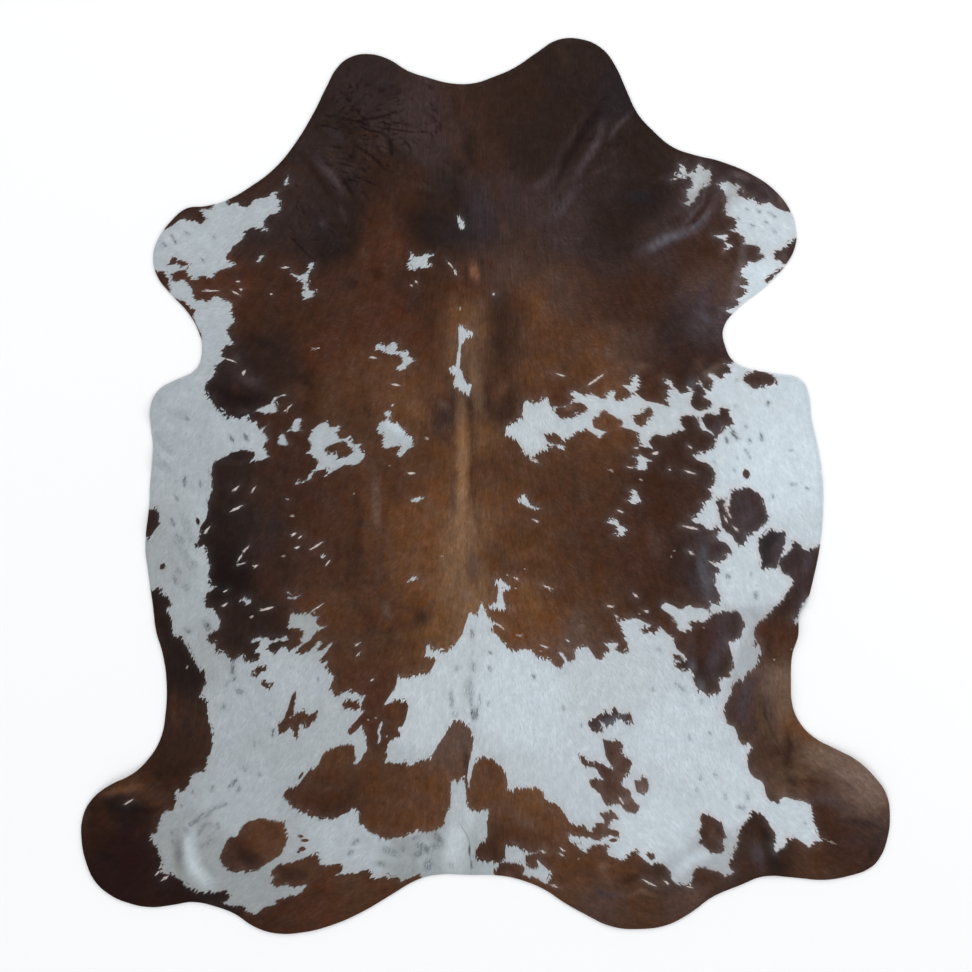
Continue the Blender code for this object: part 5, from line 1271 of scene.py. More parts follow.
def blended(table, i, j, s, t):
    """A table's values between row i and the next, at s of the way, and column j, at t of it."""
    low = table[i, j] * (1 - s) + table[i + 1, j] * s
    high = table[i, j + 1] * (1 - s) + table[i + 1, j + 1] * s
    return low * (1 - t) + high * t


DRIFT_KNOTS, DRIFT_CORNER = 512, 1.5


def drift(points, pitch, seed):
    """Smooth noise from -1 to 1 at each point, changing over a pitch in metres."""
    knots = np.random.default_rng(seed).uniform(-1.0, 1.0, (DRIFT_KNOTS, DRIFT_KNOTS))
    where = (points + DRIFT_CORNER) / pitch
    corner = np.floor(where).astype(int)
    s, t = (where - corner).T
    s, t = s * s * (3 - 2 * s), t * t * (3 - 2 * t)
    return blended(knots, *(corner % (DRIFT_KNOTS - 1)).T, s, t)


def wandering(points):
    """The points moved a little, so that no tone has a smooth border."""
    moved = points.copy()
    for axis in (0, 1):
        for pitch, most, seed in TONE_DRIFT:
            moved[:, axis] += most * drift(points, pitch, seed + axis)
    return moved


def broad_first(strokes):
    """Rows of course, half width, strength and tone, the broadest first."""
    rows = [(course, *row, tone(*HAIR_TONES[name])) for name, course, row in chart(strokes)]
    return sorted(rows, key=lambda row: -row[1])


def shaded(points, stations, narrow, strokes):
    """Tone of the hair at each point: a mean of the stations, the nearest counting most, with
    the strokes laid over it."""
    strayed = wandering(points)
    points = STROKE_FIRM * points + STROKE_STRAY * strayed
    places = strayed / CM
    total = np.zeros((len(points), 3))
    weight = np.full((len(points), 1), 1e-9)
    for table, reach in ((stations, TONE_REACH), (narrow, NARROW_REACH)):
        for name, places_of_tone, _numbers in chart(table):
            colour = tone(*HAIR_TONES[name])
            for station in places_of_tone:
                away = np.hypot(*(places - station).T)[:, None]
                count = np.exp(-((away / reach) ** 2))
                if table is narrow:
                    count = SPOT_WEIGHT * count
                else:
                    count = count + FAR_SHARE * np.exp(-((away / FAR_REACH) ** 2))
                total += count * colour
                weight += count
    tones = total / weight
    for course, half_width, strength, colour in strokes:
        near, share = on_course(points, course, half_width)
        tones[near] += strength * share[:, None] * (colour - tones[near])
    return tones


dark_strokes = broad_first(DARK_STROKES)
white_strokes = broad_first(WHITE_STROKES)
for _name, ends, (wide,) in chart(WHITE_FLECKS):
    white_strokes.append((ends, FLECK_HALO + wide, FLECK_DULLS, tone(*FLECK_TONE)))


# White hairs thin out into the brown beside a border, and the skin blushes under the white there,
# both more on the right of the hide. Reaches in mm
VEIL, VEIL_REACH = (0.038, 0.038, 0.039), 8.0
BLUSH, BLUSH_REACH = (-0.01, 0.1, 0.13), 4.2
RIGHTWARDS = ((-0.2, 0.45), (0.6, 1.2))
# How much more of its red than of its green and blue hair keeps under the painted shade of a
# crease
CREASE_RED, CREASE_REST = 0.9, 1.15


def beside_border(points, reach):
    """How strongly the other colour tells at each point, from its nearest border."""
    side = np.interp(points[:, 0], *np.transpose(RIGHTWARDS))
    return (side * np.exp(-np.abs(darkness(points)) / reach))[:, None]


def brown_tone(points):
    """The tone of the brown hair at each point, with painted shade in the creases' furrows, redder
    there, and painted sheen on their ridges.
    """
    tones = shaded(points, DARK_TONES, DARK_SPOTS, dark_strokes)
    crease = 1.0 + creased(points)[:, 1:] * (CREASE_RED, CREASE_REST, CREASE_REST)
    return tones * crease + beside_border(points, VEIL_REACH) * VEIL


def white_tone(points):
    # painted shade in the creases' furrows and painted sheen on their ridges, as in the brown
    tones = shaded(points, WHITE_TONES, "", white_strokes) * (1.0 + creased(points)[:, 1:])
    return tones * (1.0 - beside_border(points, BLUSH_REACH) * BLUSH)


def lie_of_hair(points):
    """Unit vectors along which the hair lies at each point."""
    course = np.zeros((len(points), 2))
    for x, y, below in HAIR_LIE:
        away = np.hypot(np.abs(points[:, 0]) / CM - x, points[:, 1] / CM - y)
        angle = math.radians(below)
        count = np.exp(-((away / LIE_REACH) ** 2))
        count += LIE_FAR_SHARE * np.exp(-((away / LIE_FAR) ** 2))
        course += count[:, None] * (math.cos(angle), -math.sin(angle))
    course[:, 0] *= np.clip(points[:, 0] / (PARTING * CM), -1.0, 1.0)
    return course / np.hypot(*course.T)[:, None]


# How squarely the hair runs over each border point, from nought along it to 1 across it
border_over = np.abs((lie_of_hair(border_points) * border_out).sum(1))

# The comb: a grid over the whole hide, its pitch and half sizes in metres, and in how many steps
# and how exactly its surfaces are fitted
COMB_PITCH, COMB_X, COMB_Y = 0.02, 1.2, 1.3
COMB_STEPS, COMB_EXACT = 500, 1e-12


def pulls(across, along):
    """How strongly the steps across and along the grid pull at each of its points."""
    out = np.zeros((along.shape[0], across.shape[1]))
    out[:-1] -= across
    out[1:] += across
    out[:, :-1] -= along
    out[:, 1:] += along
    return out


def fitted(slope_x, slope_y):
    """The surface on the comb's grid whose slopes come nearest to the two given ones."""
    across = (slope_x[1:] + slope_x[:-1]) / 2 * COMB_PITCH
    along = (slope_y[:, 1:] + slope_y[:, :-1]) / 2 * COMB_PITCH
    left = pulls(across, along)
    surface, push = np.zeros_like(left), left.copy()
    size = (left * left).sum()
    for _ in range(COMB_STEPS):
        moved = pulls(np.diff(push, axis=0), np.diff(push, axis=1))
        step = size / (push * moved).sum()
        surface += step * push
        left -= step * moved
        new = (left * left).sum()
        push = left + push * (new / size)
        size = new
        if size < COMB_EXACT:
            break
    return surface


comb_x = np.arange(-COMB_X, COMB_X + COMB_PITCH, COMB_PITCH)
comb_y = np.arange(-COMB_Y, COMB_Y + COMB_PITCH, COMB_PITCH)
grid = np.stack(np.meshgrid(comb_x, comb_y, indexing="ij"), axis=-1)
lie = lie_of_hair(grid.reshape(-1, 2)).reshape(grid.shape)
comb_across = fitted(-lie[..., 1], lie[..., 0])
comb_along = fitted(lie[..., 0], lie[..., 1])


def on_grid(surface, points):
    """A surface of the comb's grid at each of the points."""
    column = np.clip((points[:, 0] - comb_x[0]) / COMB_PITCH, 0, len(comb_x) - 1.001)
    row = np.clip((points[:, 1] - comb_y[0]) / COMB_PITCH, 0, len(comb_y) - 1.001)
    i, j = column.astype(int), row.astype(int)
    return blended(surface, i, j, column - i, row - j)


def kept_apart(points, others, gap):
    return points[nearest(tree_of(others), points)[1] > gap]


def rows_along(course, half_width):
    """Points on a course and to both sides of it, close enough to carry a narrow band."""
    course = np.array(course) * CM
    gone = np.concatenate([[0.0], np.cumsum(np.hypot(*np.diff(course, axis=0).T))])
    count = max(2, math.ceil(gone[-1] / (BAND_STEP * half_width * CM)) + 1)
    steps = np.linspace(0.0, gone[-1], count)
    middle = np.column_stack([np.interp(steps, gone, axis) for axis in course.T])
    along = np.gradient(middle, axis=0)
    across = np.column_stack([-along[:, 1], along[:, 0]]) / np.hypot(*along.T)[:, None]
    return np.concatenate([middle + across * row * half_width * CM for row in BAND_ROWS])


def coat_points():
    """Where the coat's mesh has its points: rings along the cut edge, three rows along every
    border of the markings, rows along the narrow creases and the ticking, and an even lattice
    between them."""
    rings = np.concatenate([rim - rim_out * inset * MM for inset in COAT_RINGS])
    rows = [border_points]
    for side in (-1.0, 1.0):
        row = border_points + border_out * side * BORDER_BAND
        rows.append(row[nearest(border_tree, row)[1] > BORDER_CLEAR])
    narrow = [row[:2] for row in creases if row[1] < NARROW_CREASE]
    narrow += [(ends, SMUDGE_ROWS * wide) for _name, ends, (wide, _) in chart(TICKS)]
    fine = np.concatenate([rows_along(*band) for band in narrow])
    fine = fine[np.unique(np.floor(fine / FINE_GAP).astype(int), axis=0, return_index=True)[1]]
    rows = np.concatenate(rows)
    rows = rows[within(rows, cut_edge)]
    rows = kept_apart(rows, rings, RING_CLEAR * MM)
    rows = np.concatenate([rows, kept_apart(fine, np.concatenate([rings, rows]), FINE_GAP)])
    rows = rows[within(rows, cut_edge)]
    filling = lattice(cut_edge, COAT_PITCH)
    filling = kept_apart(filling, np.concatenate([rings, rows]), FILLING_CLEAR * COAT_PITCH)
    return np.concatenate([rings, rows, filling])


def ticked(points):
    """How grey the white is with ticking at each point, from 0 to 1."""
    grey = np.zeros(len(points))
    for _name, (start, end), (wide, strength) in chart(TICKS):
        tip = np.subtract(end, start) * SMUDGE_TIP
        near, share = on_course(points, (start - tip, end + tip), SMUDGE_HALF * wide)
        grey[near] = np.maximum(grey[near], strength * share)
    return grey


def given(mesh, name, kind, values):
    """Puts one value for each point of the mesh under a name its material can read."""
    key = {"FLOAT": "value", "FLOAT_VECTOR": "vector", "FLOAT_COLOR": "color"}[kind]
    if kind == "FLOAT_COLOR":
        values = np.column_stack([values, np.ones(len(values))])
    layer = mesh.attributes.new(name, kind, "POINT")
    layer.data.foreach_set(key, np.ascontiguousarray(values, np.float32).ravel())


# How ragged a border is: growing over FRINGE_OVER mm of room beside it from FRINGE_FROM on, least
# on flecks and where the hair runs along it
FRINGE_FROM, FRINGE_OVER, FRINGE_LEAST = 2.0, 10.0, 0.2
FRINGE_ACROSS, FRINGE_ALONG = 1.3, 0.35


def coat_mesh():
    points, faces, _ = cut_sheet(rim + rim_out * COAT_SKIRT * MM, coat_points())
    inside = from_rim(points)
    mesh = bpy.data.meshes.new("hair_coat")
    top = np.column_stack([points, coat_top(points, inside)])
    mesh.from_pydata(top.tolist(), [], faces)
    flat_map(mesh, points)
    given(mesh, "darkness", "FLOAT", darkness(points))
    # The hair's tones, which hold the painted shade and sheen of the creases and of some strokes
    given(mesh, "dark_hair", "FLOAT_COLOR", brown_tone(points))
    given(mesh, "white_hair", "FLOAT_COLOR", white_tone(points))
    given(mesh, "ticked", "FLOAT", ticked(points))
    near, _ = nearest(border_tree, points)
    fringe = np.clip((border_room - FRINGE_FROM) / FRINGE_OVER, FRINGE_LEAST, 1.0)
    fringe *= np.clip(FRINGE_ACROSS * border_over, FRINGE_ALONG, 1.0)
    given(mesh, "fringe", "FLOAT", np.where(border_of_fleck, FRINGE_LEAST, fringe)[near])
    comb = [on_grid(comb_across, points), on_grid(comb_along, points), np.zeros(len(points))]
    given(mesh, "comb", "FLOAT_VECTOR", np.column_stack(comb))
    return mesh


def node(tree, kind, settings=(), **ports):
    """A shader node with its settings and its inputs: a number or colour, or another node's
    output. An input is named after the socket with _ for a space, or by its place as in_0."""
    made = tree.nodes.new(kind)
    for key, value in dict(settings).items():
        setattr(made, key, value)
    for port, value in ports.items():
        key = int(port[3:]) if port.startswith("in_") else port.replace("_", " ")
        if isinstance(value, bpy.types.NodeSocket):
            tree.links.new(value, made.inputs[key])
        else:
            made.inputs[key].default_value = value
    return made


def number(tree, how, a, b=0.0):
    return node(tree, "ShaderNodeMath", {"operation": how}, in_0=a, in_1=b).outputs[0]


def spread(tree, value, low, high, soft=False):
    """The value's 0.25 to 0.75 as low to high, or with soft=True, a smooth step over it."""
    settings = {"interpolation_type": "SMOOTHSTEP" if soft else "LINEAR"}
    ends = {"in_1": 0.25, "in_2": 0.75, "in_3": low, "in_4": high}
    return node(tree, "ShaderNodeMapRange", settings, Value=value, **ends).outputs[0]


# Streaks that follow the hair. Columns: how many of them to the metre across it and along it,
# how detailed they are, how far they push a border to and fro in mm, and how much they shade it
TUFT_STREAKS = (115.0, 17.0, 1.0, 4.4, 0.13)
LOCK_STREAKS = (190.0, 34.0, 3.0, 2.7, 0.16)
HAIR_STREAKS = (620.0, 80.0, 2.0, 1.2, 0.12)
# Patterns over the whole coat. Columns: scale and detail
CLOUDS, MOTTLE, BLOOM = (34.0, 6.0), (92.0, 3.0), (19.0, 4.0)
CLOUDS_SHADE, MOTTLE_SHADE = 0.24, 0.13
# Half the width in mm over which brown turns to white, and how much less the white is shaded
BORDER_SOFT, WHITE_SHADE = 1.3, 0.34
# How much the colour's strength varies: in blooms, and from light to dark mottles
BLOOM_WARMTH, MOTTLE_WARMTH = 0.13, (1.08, 0.92)
COAT_ROUGH, COAT_GLOSS = (0.5, 0.72), 0.1
# How strongly the slate shows in a streak, how much the locks tell in the relief beside the hairs,
# and how strong and how deep that relief is
SLATE_STREAKS, LOCK_RELIEF, COAT_BUMP, COAT_DEPTH = (0.75, 1.0), 0.7, 0.35, 0.0008


def combed(tree, comb, across, along, detail):
    """Streaks that follow the hair: as many per metre across it and along it as given."""
    stretched = node(
        tree,
        "ShaderNodeVectorMath",
        {"operation": "MULTIPLY"},
        in_0=comb,
        in_1=(across, along, 1.0),
    ).outputs[0]
    noise = node(tree, "ShaderNodeTexNoise", Vector=stretched, Scale=1.0, Detail=detail)
    return noise.outputs["Fac"]


def coat_material():
    """Brown and white hair: tones by place, streaks along the lie of the hair, and borders
    where single locks of one colour run into the other."""
    material = bpy.data.materials.new("cow_hair")
    material.use_nodes = True
    tree = material.node_tree
    surface = tree.nodes["Principled BSDF"]
    surface.inputs["Specular IOR Level"].default_value = COAT_GLOSS

    def carried(name, output):
        return node(tree, "ShaderNodeAttribute", {"attribute_name": name}).outputs[output]

    def patterned(scale, detail):
        noise = node(tree, "ShaderNodeTexNoise", Vector=place, Scale=scale, Detail=detail)
        return noise.outputs["Fac"]

    def to_and_fro(pattern, most):
        return spread(tree, pattern, -most, most)

    comb = carried("comb", "Vector")
    locks = combed(tree, comb, *LOCK_STREAKS[:3])
    hairs = combed(tree, comb, *HAIR_STREAKS[:3])
    place = node(tree, "ShaderNodeTexCoord").outputs["Object"]
    clouds, mottle, bloom = (patterned(*pattern) for pattern in (CLOUDS, MOTTLE, BLOOM))

    tufts = combed(tree, comb, *TUFT_STREAKS[:3])
    streaks = ((tufts, TUFT_STREAKS), (locks, LOCK_STREAKS), (hairs, HAIR_STREAKS))
    pushes = [to_and_fro(pattern, push) for pattern, (_, _, _, push, _) in streaks]
    ragged = number(tree, "ADD", pushes[0], pushes[1])
    ragged = number(tree, "ADD", ragged, pushes[2])
    ragged = number(tree, "MULTIPLY", ragged, carried("fringe", "Fac"))
    ragged = number(tree, "ADD", ragged, carried("darkness", "Fac"))
    brown = node(
        tree,
        "ShaderNodeMapRange",
        {"interpolation_type": "SMOOTHSTEP"},
        Value=ragged,
        in_1=-BORDER_SOFT,
        in_2=BORDER_SOFT,
    ).outputs[0]

    shade = to_and_fro(locks, LOCK_STREAKS[4])
    for pattern, most in (
        (tufts, TUFT_STREAKS[4]),
        (hairs, HAIR_STREAKS[4]),
        (clouds, CLOUDS_SHADE),
        (mottle, MOTTLE_SHADE),
    ):
        shade = number(tree, "ADD", shade, to_and_fro(pattern, most))
    depth = node(tree, "ShaderNodeMapRange", Value=brown, in_3=WHITE_SHADE, in_4=1.0).outputs[0]
    shade = number(tree, "MULTIPLY", shade, depth)
    shade = number(tree, "ADD", shade, 1.0)

    greyed = spread(tree, hairs, *SLATE_STREAKS)
    greyed = number(tree, "MULTIPLY", carried("ticked", "Fac"), greyed)
    white = node(tree, "ShaderNodeMix", {"data_type": "RGBA"}, in_0=greyed, in_7=TICKING_SLATE)
    tree.links.new(carried("white_hair", "Color"), white.inputs[6])
    mixed = node(tree, "ShaderNodeMix", {"data_type": "RGBA"}, in_0=brown)
    tree.links.new(white.outputs[2], mixed.inputs[6])
    tree.links.new(carried("dark_hair", "Color"), mixed.inputs[7])
    warmth = spread(tree, mottle, *MOTTLE_WARMTH)
    warmth = number(tree, "ADD", to_and_fro(bloom, BLOOM_WARMTH), warmth)
    warmth = node(
        tree, "ShaderNodeHueSaturation", Saturation=warmth, Color=mixed.outputs[2]
    ).outputs[0]
    lit = node(
        tree, "ShaderNodeVectorMath", {"operation": "SCALE"}, in_0=warmth, Scale=shade
    ).outputs[0]
    tree.links.new(lit, surface.inputs["Base Color"])

    tree.links.new(spread(tree, hairs, *COAT_ROUGH), surface.inputs["Roughness"])
    relief = number(tree, "ADD", number(tree, "MULTIPLY", locks, LOCK_RELIEF), hairs)
    bump = node(tree, "ShaderNodeBump", Height=relief, Strength=COAT_BUMP, Distance=COAT_DEPTH)
    tree.links.new(bump.outputs[0], surface.inputs["Normal"])
    return material


rim = walked(cut_edge, COAT_EDGE_STEP)
rim_out = outward(rim)
rim_tree = tree_of(rim)
hair_coat = in_scene("hair_coat", coat_mesh(), coat_material())
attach(hair_coat, "root")
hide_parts("cowhide")

# ---- The single locks of hair ----------------------------------------------------------------
# Fine tapered locks lying on the coat, each rooted in the skin and combed with its neighbours:
# over the whole field, thicker where brown meets white, along the cut edge, and in the ticking.

LOCK_MAKE = np.random.default_rng(41)
# How much less the white locks vary than the brown ones
WHITE_VARIETY = 0.38
FIELD_GAP = 0.0088
FIELD_REACH = (0.013, 0.023)
FIELD_WIDTH = (0.0014, 0.0025)
BORDER_REACH = (0.009, 0.017)
BORDER_WIDTH = (0.0011, 0.0019)
# How much painted shade or sheen of a crease a field lock may lie over
CREASE_BARE = 0.1
EDGE_REACH = (0.008, 0.016)
EDGE_WIDTH = (0.0009, 0.0017)
EDGE_HAIRS = 9000
OVERHANG = 0.0022
# Faint pale strokes in the brown: their two ends and their width
FAINT_STROKES = """
left lower flank: -50.2,-7.8 -48.7,-7.6 .7; -52.3,-18.1 -51,-17.6 .6
left loin: -33.7,-2 -33.3,-2 .5; -24.9,5.3 -24.1,5.3 .6; -11.5,-18 -10.5,-18 .4
left back: -15.5,12.5 -14,11.9 .8
middle loin: 5,-22.6 6,-23 .5
right loin: 9.7,-21.3 10.3,-21.3 .5; 31,4.6 33,3.8 .7
middle rump: 7.3,-26 8,-26.5 .4; 7,-38 9.5,-38.8 .6
right rump: 13.7,-42 14.5,-42.5 .5
right lower flank: 39,2 40.5,1.3 .6; 48,-16.5 48.7,-16.7 .5; 47.3,-18 48,-18.2 .5
right belly: 39,-32.8 39.6,-33 .5; 47.2,-34.3 48.8,-34.8 .5; 55.5,-36 56.3,-36.5 .5; 78.2,-42
  78.8,-42 .8; 73.7,-44.5 74.3,-44.5 .8
left belly: -60.5,-33.8 -59.3,-33 .7; -76.8,-47 -76.3,-45.5 .5
left rump, low: -30.3,-60 -29.7,-60 .7; -28.3,-59.5 -27.7,-59.5 .6; -25.5,-64.3 -24.9,-64.3 .7
right tail end: 23.4,-95.7 24,-95.7 .6
right hock: 84.5,-88 86,-90.3 .6; 86,-90.3 90,-92 .6
right shoulder: 65.7,75.6 66.3,75.6 .8
middle shoulder: -6.5,46.5 -6.5,45 .6
left upper flank: -45,35 -42,35.6 .6
"""

# How much of a fleck's own tone its locks have
FLECK_SHARE, FAINT_SHARE, DARK_SHARE = (0.4, 1.0), (0.3, 0.6), (0.0, 0.0)
TUFT_BACK = (0.003, 0.006)
TUFT_REACH = (0.004, 0.013)
# Which share of the border's points has a tuft, and how squarely the hair has to run over it there
TUFT_SHARE, TUFT_OVER = 0.75, 0.3
# The four locks of a tuft. Columns: how far aside it is rooted, how long it is beside the longest
TUFT = ((-1.0, 0.80), (-0.35, 1.0), (0.35, 0.93), (1.0, 0.72))
TUFT_HALF_WIDTH = 0.0022
TUFT_LOCK_WIDTH = (0.0016, 0.0023)
TICKING_PER_CM = 9
TICKING_REACH = (0.005, 0.009)
TICKING_WIDTH = (0.0010, 0.0016)


def turned(vectors, spread_deg):
    """The vectors, each turned by its own small angle."""
    angle = np.radians(LOCK_MAKE.normal(0.0, spread_deg, len(vectors)))
    cos, sin = np.cos(angle), np.sin(angle)
    x, y = vectors.T
    return np.column_stack([x * cos - y * sin, x * sin + y * cos])


def between(limits, count):
    return LOCK_MAKE.uniform(*limits, count)


def varied(dark, variety):
    """How much lighter or darker each lock is than its neighbours, less so in the white."""
    variety = np.where(dark, variety, WHITE_VARIETY * variety)
    return 1.0 + variety * LOCK_MAKE.normal(0.0, 1.0, len(dark))


def hair_tone(points, dark):
    """The tone of brown or white hair at each point."""
    tones = np.empty((len(points), 3))
    for chosen, tone_of in ((dark, brown_tone), (~dark, white_tone)):
        if chosen.any():
            tones[chosen] = tone_of(points[chosen])
    return tones


# A lock over the coat, in mm: its root, its middle and its tip, and how wide its root is beside
# its middle
ROOT_LIFT, MIDDLE_LIFT, TIP_LIFT, ROOT_WIDTH = -0.3, 0.3, 0.4, 0.6
# A lock's five points. Columns: at its root, middle or tip (0, 1 or 2), and how light it is there:
# painted shade at the root, painted light at the tip
LOCK_SHADES = ((0, 0.93), (0, 0.93), (1, 1.0), (1, 1.0), (2, 1.04))


def locks_of(name, roots, lie, reach, width, dark, own, mixed=None, bend_deg=7.0):
    """A mesh of flat tapered locks, each bent once and rising a little towards its tip, in the
    tone of where it lies times its own, with painted shade at its root and painted light at its
    tip. Mixed gives a tone and each lock's share of it."""
    count = len(roots)
    bend = turned(lie, bend_deg)
    middles = roots + lie * reach[:, None] * 0.5
    tips = middles + bend * reach[:, None] * 0.5
    aside = np.column_stack([-lie[:, 1], lie[:, 0]]) * width[:, None] / 2
    rows = (
        (roots - ROOT_WIDTH * aside, ROOT_LIFT),
        (roots + ROOT_WIDTH * aside, ROOT_LIFT),
        (middles - aside, MIDDLE_LIFT),
        (middles + aside, MIDDLE_LIFT),
        (tips, TIP_LIFT),
    )
    points = np.stack([row for row, _ in rows], axis=1).reshape(-1, 2)
    lifts = np.tile([lift for _, lift in rows], count)
    inside = from_rim(points)
    top = coat_top(points, inside) + lifts * np.clip(inside / (3 * MM) + 1, 0.3, 1.0) * MM
    points = np.column_stack([points, top])
    first = np.arange(count)[:, None] * 5
    faces = np.stack([first + (0, 1, 3), first + (0, 3, 2), first + (2, 3, 4)], axis=1)
    mesh = bpy.data.meshes.new(name)
    mesh.from_pydata(points.tolist(), [], faces.reshape(-1, 3).tolist())
    flat_map(mesh, points[:, :2])
    tones = [hair_tone(row, dark) for row in (roots, middles, tips)]
    tones = np.stack([tones[k] * shade for k, shade in LOCK_SHADES], axis=1)
    if mixed:
        tones += mixed[1][:, None, None] * (mixed[0] - tones)
    given(mesh, "lock", "FLOAT_COLOR", (tones * own[:, None, None]).reshape(-1, 3))
    return mesh


def lock_material():
    """Hair with a soft sheen along it, and a finer streak inside each lock."""
    material = bpy.data.materials.new("hair_locks")
    material.use_nodes = True
    tree = material.node_tree
    surface = tree.nodes["Principled BSDF"]
    surface.inputs["Specular IOR Level"].default_value = 0.1
    own = node(tree, "ShaderNodeAttribute", {"attribute_name": "lock"}).outputs["Color"]
    place = node(tree, "ShaderNodeTexCoord").outputs["Object"]
    grain = node(tree, "ShaderNodeTexNoise", Vector=place, Scale=900.0, Detail=2.0).outputs["Fac"]
    lit = node(
        tree,
        "ShaderNodeVectorMath",
        {"operation": "SCALE"},
        in_0=own,
        Scale=spread(tree, grain, 0.9, 1.1),
    ).outputs[0]
    tree.links.new(lit, surface.inputs["Base Color"])
    tree.links.new(spread(tree, grain, 0.48, 0.7), surface.inputs["Roughness"])
    bump = node(tree, "ShaderNodeBump", Height=grain, Strength=0.2, Distance=0.0003)
    tree.links.new(bump.outputs[0], surface.inputs["Normal"])
    return material


def crossing_is_short(roots, lie, reach, dark, limits):
    """Which locks run no further into the other colour than their limit, and over no fleck."""
    limit = between(limits, len(roots))
    short = np.ones(len(roots), bool)
    for share in (0.35, 0.7, 1.0):
        along = roots + lie * reach[:, None] * share
        there = darkness(along) * np.sign(dark)
        fleck = border_of_fleck[nearest(border_tree, along)[0]]
        short &= there > -np.where(fleck, 0.4, limit)
    return short


def field_locks():
    """Locks over the whole hide, staggered unevenly, none reaching past the cut edge."""
    roots = lattice(cut_edge, FIELD_GAP)
    roots = roots + LOCK_MAKE.uniform(-0.5, 0.5, roots.shape) * FIELD_GAP
    reach = between(FIELD_REACH, len(roots))
    lie = turned(lie_of_hair(roots), 8.0)
    inside = from_rim(roots)
    tip_inside = from_rim(roots + lie * reach[:, None])
    dark = darkness(roots)
    stays = (inside > 4 * MM) & (tip_inside > 1 * MM)
    stays &= crossing_is_short(roots, lie, reach, dark, (1.5, 1.5))
    for share in (0.0, 0.5, 1.0):
        stays &= np.abs(creased(roots + lie * reach[:, None] * share)[:, 1]) < CREASE_BARE
    roots, lie, reach, dark = roots[stays], lie[stays], reach[stays], dark[stays] > 0
    width = between(FIELD_WIDTH, len(roots))
    return locks_of("field_hair", roots, lie, reach, width, dark, varied(dark, 0.09))


def border_locks():
    """Locks on both sides of every border of the markings, their tips crossing it a little."""
    aside = LOCK_MAKE.uniform(-11.0, 11.0, (len(border_points) * 3, 1)) * MM
    roots = np.repeat(border_points, 3, axis=0) + np.repeat(border_out, 3, axis=0) * aside
    roots = roots[within(roots, cut_edge)]
    reach = between(BORDER_REACH, len(roots))
    lie = turned(lie_of_hair(roots), 10.0)
    dark = darkness(roots)
    stays = crossing_is_short(roots, lie, reach, dark, (0.5, 4.0))
    stays &= (from_rim(roots) > 4 * MM) & (from_rim(roots + lie * reach[:, None]) > 1 * MM)
    roots, lie, reach, dark = roots[stays], lie[stays], reach[stays], dark[stays] > 0
    width = between(BORDER_WIDTH, len(roots))
    return locks_of("border_hair", roots, lie, reach, width, dark, varied(dark, 0.1))


def border_tufts():
    """Tufts along the borders where the hair of one colour runs out over the other: each of four
    locks whose tips come together in a point."""
    lie = turned(lie_of_hair(border_points), 9.0)
    chosen = (border_over > TUFT_OVER) & ~border_of_fleck & within(border_points, cut_edge)
    chosen &= LOCK_MAKE.uniform(0.0, 1.0, len(border_over)) < TUFT_SHARE
    ends, lie, room = border_points[chosen], lie[chosen], border_room[chosen]
    roots = ends - lie * between(TUFT_BACK, len(ends))[:, None]
    reach = between(TUFT_REACH, len(ends)) * np.clip(room / BORDER_ROOM[0], 0.3, 1.0)
    tips = ends + lie * reach[:, None]
    dark = darkness(roots) > 0
    stays = (dark != (darkness(tips) > 0)) & (from_rim(tips) > 3 * MM)
    stays &= from_rim(roots) > 4 * MM
    roots, tips, lie, dark = roots[stays], tips[stays], lie[stays], dark[stays]
    across = np.column_stack([-lie[:, 1], lie[:, 0]])
    starts, ends = [], []
    for aside, length in TUFT:
        starts.append(roots + across * aside * TUFT_HALF_WIDTH)
        ends.append(roots + (tips - roots) * length + across * aside * TUFT_HALF_WIDTH * 0.2)
    starts, ends, dark = np.concatenate(starts), np.concatenate(ends), np.tile(dark, len(TUFT))
    reach = np.hypot(*(ends - starts).T)
    lie = (ends - starts) / reach[:, None]
    width = between(TUFT_LOCK_WIDTH, len(dark))
    own = varied(dark, 0.1)
    return locks_of("tuft_hair", starts, lie, reach, width, dark, own, bend_deg=3.0)


def straight(ends):
    """A charted stroke's two ends in metres, its length, and unit vectors along and across it."""
    start, end = np.array(ends) * CM
    long = float(np.hypot(*(end - start)))
    along = (end - start) / long
    return start, end, long, along, np.array((-along[1], along[0]))


def fleck_locks():
    """Locks of one colour lying side by side along every fleck, the faint ones mostly brown."""
    roots, lies, reaches, brown, shares = [], [], [], [], []
    for table, dark in ((WHITE_FLECKS, False), (DARK_FLECKS, True), (FAINT_STROKES, False)):
        for _name, ends, (wide,) in chart(table):
            start, end, long, along, across = straight(ends)
            if (along * lie_of_hair((start + end)[None] / 2)).sum() < 0:
                start, end, along, across = end, start, -along, -across
            faint = table is FAINT_STROKES
            share = FAINT_SHARE if faint else DARK_SHARE if dark else FLECK_SHARE
            count = max(3, round((0.5 if faint else 1.0) * (4 + 9 * wide * (1 + 60 * long))))
            reach = between((0.8, 1.2), count) * min(0.014, max(0.007, long))
            t = LOCK_MAKE.uniform(0, 1, count)
            side = LOCK_MAKE.uniform(-0.42, 0.42, count) * wide * CM * np.sin(0.4 + 2.3 * t)
            from_start = t * max(long - 0.8 * reach.mean(), 0.001)
            roots.append(start + from_start[:, None] * along + side[:, None] * across)
            lies.append(np.tile(along, (count, 1)))
            reaches.append(reach)
            brown.append(np.full(count, dark or faint))
            shares.append(between(share, count))
    roots, lie, reach = np.concatenate(roots), np.concatenate(lies), np.concatenate(reaches)
    dark, share = np.concatenate(brown), np.concatenate(shares)
    width = between(BORDER_WIDTH, len(roots))
    mixed = (tone(*FLECK_TONE), share)
    lie, own = turned(lie, 7.0), varied(dark, 0.1)
    return locks_of("fleck_hair", roots, lie, reach, width, dark, own, mixed)


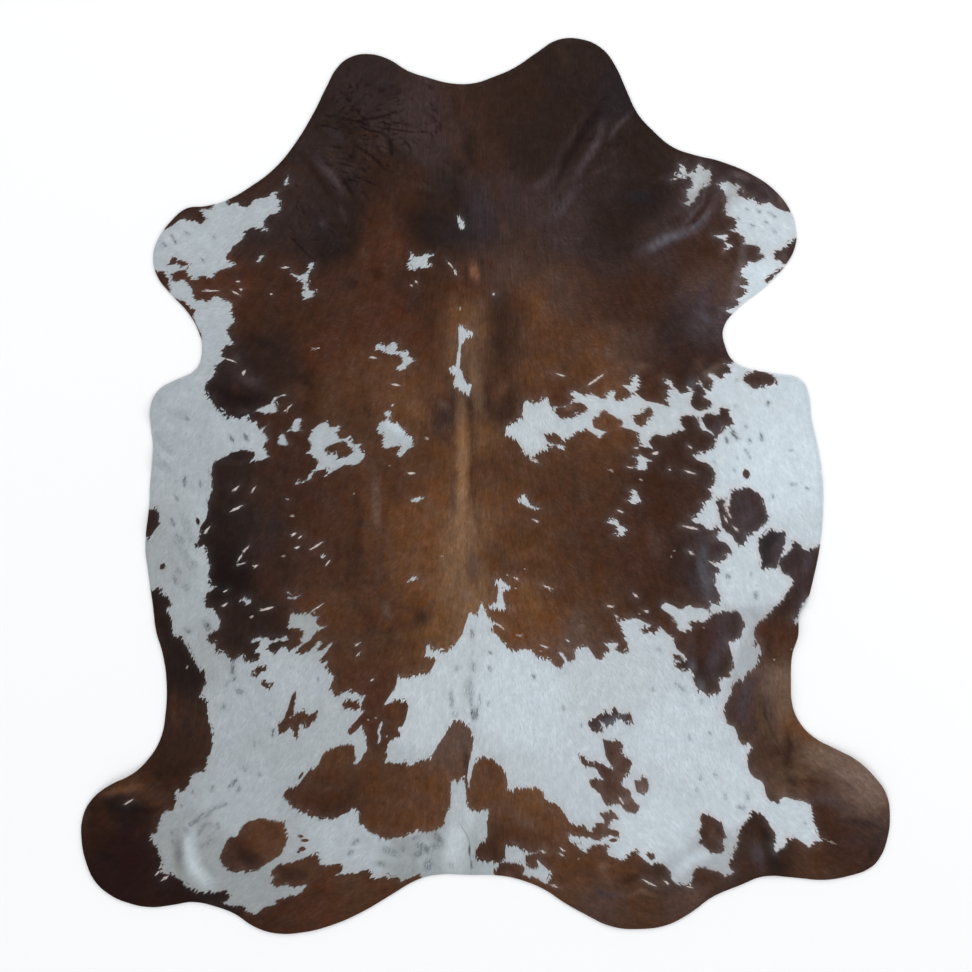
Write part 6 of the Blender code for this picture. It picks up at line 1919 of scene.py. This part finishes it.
def edge_locks():
    """Locks along the cut edge, leaning outwards and ending close to it."""
    which = LOCK_MAKE.integers(0, len(rim), EDGE_HAIRS)
    depth = between((3.0, 12.0), EDGE_HAIRS) * MM
    roots = rim[which] - rim_out[which] * depth[:, None]
    lie = lie_of_hair(roots) + 0.35 * rim_out[which]
    lie = turned(lie / np.hypot(*lie.T)[:, None], 12.0)
    outgoing = (lie * rim_out[which]).sum(1)
    reach = between(EDGE_REACH, EDGE_HAIRS)
    over = between((-0.002, OVERHANG), EDGE_HAIRS)
    longest = (depth + over) / np.maximum(outgoing, 0.05)
    reach = np.where(outgoing > 0.05, np.minimum(reach, longest), reach)
    stays = reach > 4 * MM
    roots, lie, reach = roots[stays], lie[stays], reach[stays]
    width = between(EDGE_WIDTH, len(roots))
    dark = darkness(roots) > 0
    return locks_of("edge_hair", roots, lie, reach, width, dark, varied(dark, 0.15))


def ticking():
    """Slate hairs in the white, along and beside each smudge of the charted ticking."""
    roots, lies, shares = [], [], []
    for _name, ends, (wide, strength) in chart(TICKS):
        start, _, long, along, across = straight(ends)
        count = max(4, round(TICKING_PER_CM * wide * (0.6 + long / CM)))
        t, side = between((-0.3, 1.0), count), between((-0.5, 0.5), count) * wide * CM
        roots.append(start + (t * long)[:, None] * along + side[:, None] * across)
        lies.append(np.tile(along, (count, 1)))
        shares.append(strength * between((0.35, 1.0), count))
    roots, lie, share = np.concatenate(roots), np.concatenate(lies), np.concatenate(shares)
    white = (darkness(roots) < -0.5) & (from_rim(roots) > 6 * MM)
    roots, lie, share = roots[white], turned(lie[white], 12.0), share[white]
    reach = between(TICKING_REACH, len(roots))
    roots = roots - lie * reach[:, None] * 0.3
    width = between(TICKING_WIDTH, len(roots))
    dark = np.zeros(len(roots), bool)
    mixed = (np.array(TICKING_SLATE[:3]), share)
    return locks_of("ticking_hair", roots, lie, reach, width, dark, varied(dark, 0.1), mixed)


lock_hair = lock_material()
makers = (field_locks, border_locks, border_tufts, fleck_locks, edge_locks, ticking)
for made in (maker() for maker in makers):
    piece = in_scene(made.name, made, lock_hair)
    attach(piece, "root")
    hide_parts("cowhide")
